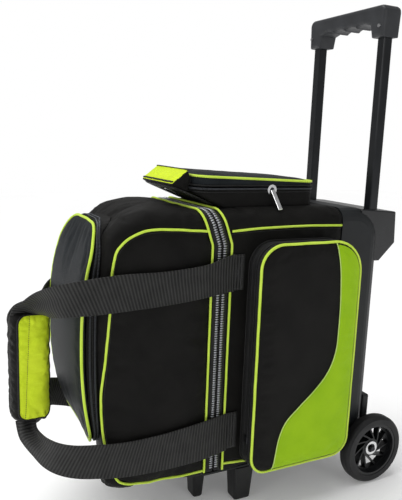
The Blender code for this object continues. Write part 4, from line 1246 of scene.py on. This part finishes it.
def wrap_pad(word, sign):
    """Half of the padded wrap: a D-shaped pad whose flat side lies against the other half."""
    depth = local_box("carry_grip_near")[1].x + 1
    rings = []
    for step in range(7):
        angle = math.pi / 2 * step / 6
        x = 0.8 + depth * math.sin(angle)
        inset = 15 * (1 - math.cos(angle))
        rings.append([at(sign * x, u, v) for u, v in wrap_outline(inset)])
    obj = remeshed(f"carry_wrap_{word}", loft(rings), 3, WRAP_CLOTH)
    seam = [at(sign * depth, y, z) for y, z in zip(np.linspace(-322, -313, 60), np.linspace(203, 380, 60))]
    border = [at(sign * (depth - 3), u, v) for u, v in wrap_border()]
    rim = resampled([at(sign * 1, u, v) for u, v in wrap_outline(0)], 3 * MM, True)
    border = resampled(border, 3 * MM, True)
    inflate(obj, seam + border + rim, 3, 4.5, 5.0)
    return obj, seam, border


def wrap_border():
    """The line where the lime cover meets its black border."""
    (y_low, z_low), (y_high, z_high) = WRAP_LOW, WRAP_HIGH
    corners = [(y_low + 11, z_low + 9, 14), (y_high - 3, z_low + 9, 12), (y_high - 3, z_high - 8, 6)]
    return rounded([*corners, (y_low + 11, z_high - 8, 14)], 0, 6)


def inside(outline, u, v):
    """Whether a point lies in a closed outline."""
    found = False
    for (a, b), (c, d) in zip(outline, outline[1:] + outline[:1]):
        if (b > v) != (d > v) and u < a + (c - a) * (v - b) / (d - b):
            found = not found
    return found


def finish_wrap(word, sign, obj, seam, border):
    pucker(obj, seam, 1.8, 12, 7)
    pucker(obj, border, 4.0, 19, 9, 4.0)
    subdivide(obj)
    obj.data.materials.append(BLACK_CLOTH)
    outline = wrap_border()
    for face in obj.data.polygons:
        local = (face.center - DATUM) / MM
        face.material_index = 0 if inside(outline, local.y, local.z) and abs(local.x) > 6 else 1
    tree = surface_of(obj)
    body = f"strap_{word}"
    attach(obj, body)
    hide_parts(f"carry_grip_{word}")
    outwards = Vector((sign * 0.02, 0, 0))
    row = drape([p + outwards for p in seam], (-sign, 0, 0), tree, 0.25)
    stitches(f"carry_wrap_seam_{word}", *row, body, 3.6)
    path = drape([p + outwards for p in border], (-sign, 0, 0), tree, 0.4)
    edge = sweep(f"carry_wrap_binding_{word}", *path, flat_profile(3.4, 1.4, 0.5), BINDING, body, True)


def carry_straps():
    for word, sign in SIDES:
        upper = strap_run(word, sign, "upper")
        strap_run(word, sign, "lower")
        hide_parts(f"carry_strap_{word}")
        patch = sewn_end(word, sign, "upper")
        sewn_end(word, sign, "lower")
        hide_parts(f"strap_anchor_{word}")


HANDLE_TILT = math.radians(22)
HANDLE_HINGE = (-8, 560)


def handle_point(x, reach, lift):
    """A point on the grab handle, from its distance forwards of the hinge and above the webbing."""
    y = HANDLE_HINGE[0] - reach * math.cos(HANDLE_TILT) + lift * math.sin(HANDLE_TILT)
    z = HANDLE_HINGE[1] + reach * math.sin(HANDLE_TILT) + lift * math.cos(HANDLE_TILT)
    return at(x, y, z)


def handle_pad():
    """The padded lime sleeve standing on the cross bar of the grab handle."""
    obj = remeshed("grab_sleeve", copy_of("top_handle_sleeve"), 2.5, WRAP_CLOTH)
    low, high = local_box("top_handle_sleeve")
    rows = ((-59, 619), (-84, 600), (-88, 595), (-57, 583))
    seams = [at(x, y, z) for x in np.arange(low.x, high.x, 3) for y, z in rows]
    inflate(obj, seams, 4, 2.5, 4.0)
    return obj, seams


def grab_handle(pad, seams):
    pucker(pad, seams, 1.2, 12, 8)
    subdivide(pad)
    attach(pad, "top_handle")
    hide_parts("top_handle_sleeve")
    pad.data.materials.append(BLACK_CLOTH)
    for face in pad.data.polygons:
        y, z = ((face.center - DATUM) / MM).yz
        end = abs(face.center.x - DATUM.x) > 67.5 * MM
        face.material_index = 0 if face.normal.z - 0.7 * face.normal.y > 0.35 and not end and z > 597 else 1
    up = Vector((0, math.sin(HANDLE_TILT), math.cos(HANDLE_TILT)))
    bow = [(-60, 2), (-60, 54), (-57, 66), (-48, 71), (48, 71), (57, 66), (60, 54), (60, 2)]
    path = smoothed([handle_point(x, reach, 0.8) for x, reach in bow], 4 * MM)
    webbing = sweep("grab_webbing", path, [up] * len(path), flat_profile(25, 2.2), WEBBING, "top_handle")
    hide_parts("top_handle_webbing")
    tree = surface_of(pad)
    for word, y, z in (("front", -84.5, 600), ("back", -58.5, 620)):
        row, normals = drape([at(x, y, z + 8) for x in np.linspace(-66, 66, 90)], (0, 0, -1), tree, 0.3)
        band = sweep(f"grab_binding_{word}", row, normals, flat_profile(3.6, 1.4, 0.5), BINDING, "top_handle")


# CAD pieces that keep their shape and get a finished material.


def dress():
    finishes = {
        BACK_PLASTIC: ("back_shell", "base_tray", "tube_foot_near", "tube_foot_far"),
        GLOSS_PLASTIC: ("handle_housing", "wheel_bracket_near", "wheel_bracket_far"),
        GRIP_PLASTIC: ("trolley_grip",),
        BUTTON_PLASTIC: ("release_button",),
        BOARD: ("divider_board",),
        FOAM: ("ball_cup",),
        TUBE_COAT: ("outer_tube_near", "outer_tube_far", "inner_tube_near", "inner_tube_far"),
        TYRE_RUBBER: ("tyre_near", "tyre_far"),
        RIM_PLASTIC: ("rim_near", "rim_far"),
        FOOT_RUBBER: ("rear_foot_near", "rear_foot_far", "front_foot_near", "front_foot_far"),
        CHROME: ("hub_ring_near", "hub_ring_far", "top_zip_slider", "top_zip_pull", "main_zip_slider"),
        STEEL: (
            "grip_screw_near",
            "grip_screw_far",
            "push_rod_near",
            "push_rod_far",
            "lock_pin_near",
            "lock_pin_far",
            "button_spring",
        ),
        DARK_STEEL: ("axle", "bearing_near", "bearing_far", "side_zip_slider", "front_zip_slider"),
    }
    for material, nodes in finishes.items():
        for node in nodes:
            for material_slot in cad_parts[node].material_slots:
                material_slot.material = material


# Camera, light and floor.


def camera():
    data = bpy.data.cameras.new("camera")
    obj = bpy.data.objects.new("camera", data)
    bpy.context.scene.collection.objects.link(obj)
    data.lens = 43.592
    data.sensor_width = 36
    azimuth = math.radians(63.1877)
    pitch = math.radians(10.4753)
    roll = math.radians(2.1061)
    forward = Vector(
        (-math.sin(azimuth) * math.cos(pitch), math.cos(azimuth) * math.cos(pitch), -math.sin(pitch))
    )
    right = Vector((math.cos(azimuth), math.sin(azimuth), 0))
    up = right.cross(forward)
    rolled_right = right * math.cos(roll) + up * math.sin(roll)
    rolled_up = up * math.cos(roll) - right * math.sin(roll)
    turn = Matrix((rolled_right, rolled_up, -forward)).transposed()
    obj.matrix_world = Matrix.Translation(at(987.0, -493.0, 673.1)) @ turn.to_4x4()
    data.dof.use_dof = False
    bpy.context.scene.camera = obj


def area_light(name, place, target, size, power):
    data = bpy.data.lights.new(name, "AREA")
    data.shape = "RECTANGLE"
    data.size = size[0]
    data.size_y = size[1]
    data.energy = power
    obj = bpy.data.objects.new(name, data)
    bpy.context.scene.collection.objects.link(obj)
    obj.location = place
    obj.rotation_euler = (Vector(target) - Vector(place)).to_track_quat("-Z", "Y").to_euler()


def studio():
    shader = Shader("floor", Roughness=0.6, Emission_Color=(1, 1, 1, 1), Emission_Strength=0.12)
    shader.colours(shader.noise(0.8, 2), (0.93, 0.93, 0.93), (0.96, 0.96, 0.96))
    mesh = bpy.data.meshes.new("floor")
    reach = 6.0
    corners = [(-reach, -reach, 0), (reach, -reach, 0), (reach, reach, 0), (-reach, reach, 0)]
    mesh.from_pydata(corners, [], [(0, 1, 2, 3)])
    mesh.materials.append(shader.material)
    floor = bpy.data.objects.new("floor", mesh)
    bpy.context.scene.collection.objects.link(floor)
    world = bpy.data.worlds.new("studio")
    world.use_nodes = True
    nodes = world.node_tree.nodes
    background = nodes["Background"]
    background.inputs["Color"].default_value = (1.0, 1.0, 1.0, 1)
    seen = nodes.new("ShaderNodeLightPath").outputs["Is Camera Ray"]
    strength = nodes.new("ShaderNodeMapRange")
    strength.inputs["To Min"].default_value = 0.36
    strength.inputs["To Max"].default_value = 1.0
    world.node_tree.links.new(seen, strength.inputs["Value"])
    world.node_tree.links.new(strength.outputs["Result"], background.inputs["Strength"])
    bpy.context.scene.world = world
    bpy.context.scene.view_settings.view_transform = "Standard"
    sky = bpy.data.lights.new("overhead", "SUN")
    sky.energy = 2.1
    sky.angle = math.radians(50)
    overhead = bpy.data.objects.new("overhead", sky)
    bpy.context.scene.collection.objects.link(overhead)
    overhead.rotation_euler = Vector((0.15, 0.3, -1)).to_track_quat("-Z", "Y").to_euler()
    area_light("front", (0.5, -2.2, 1.3), (0, 0, 0.35), (1.2, 1.2), 11)
    area_light("side", (2.3, 0.6, 1.3), (0, 0, 0.3), (0.8, 1.4), 5)


camera()
studio()
dress()

rear = rear_half()
front = front_half()
side = side_door()
front_pad = front_door()
top = top_door()
sleeve = handle_pad()
wraps = {word: wrap_pad(word, sign) for word, sign in SIDES}

settle()

finish_rear(*rear)
finish_front(*front)
main_zipper()
hinge_cloth()
side_pocket(*side)
front_pocket(*front_pad)
top_pocket(*top)
carry_straps()
for word, sign in SIDES:
    finish_wrap(word, sign, *wraps[word])
grab_handle(*sleeve)
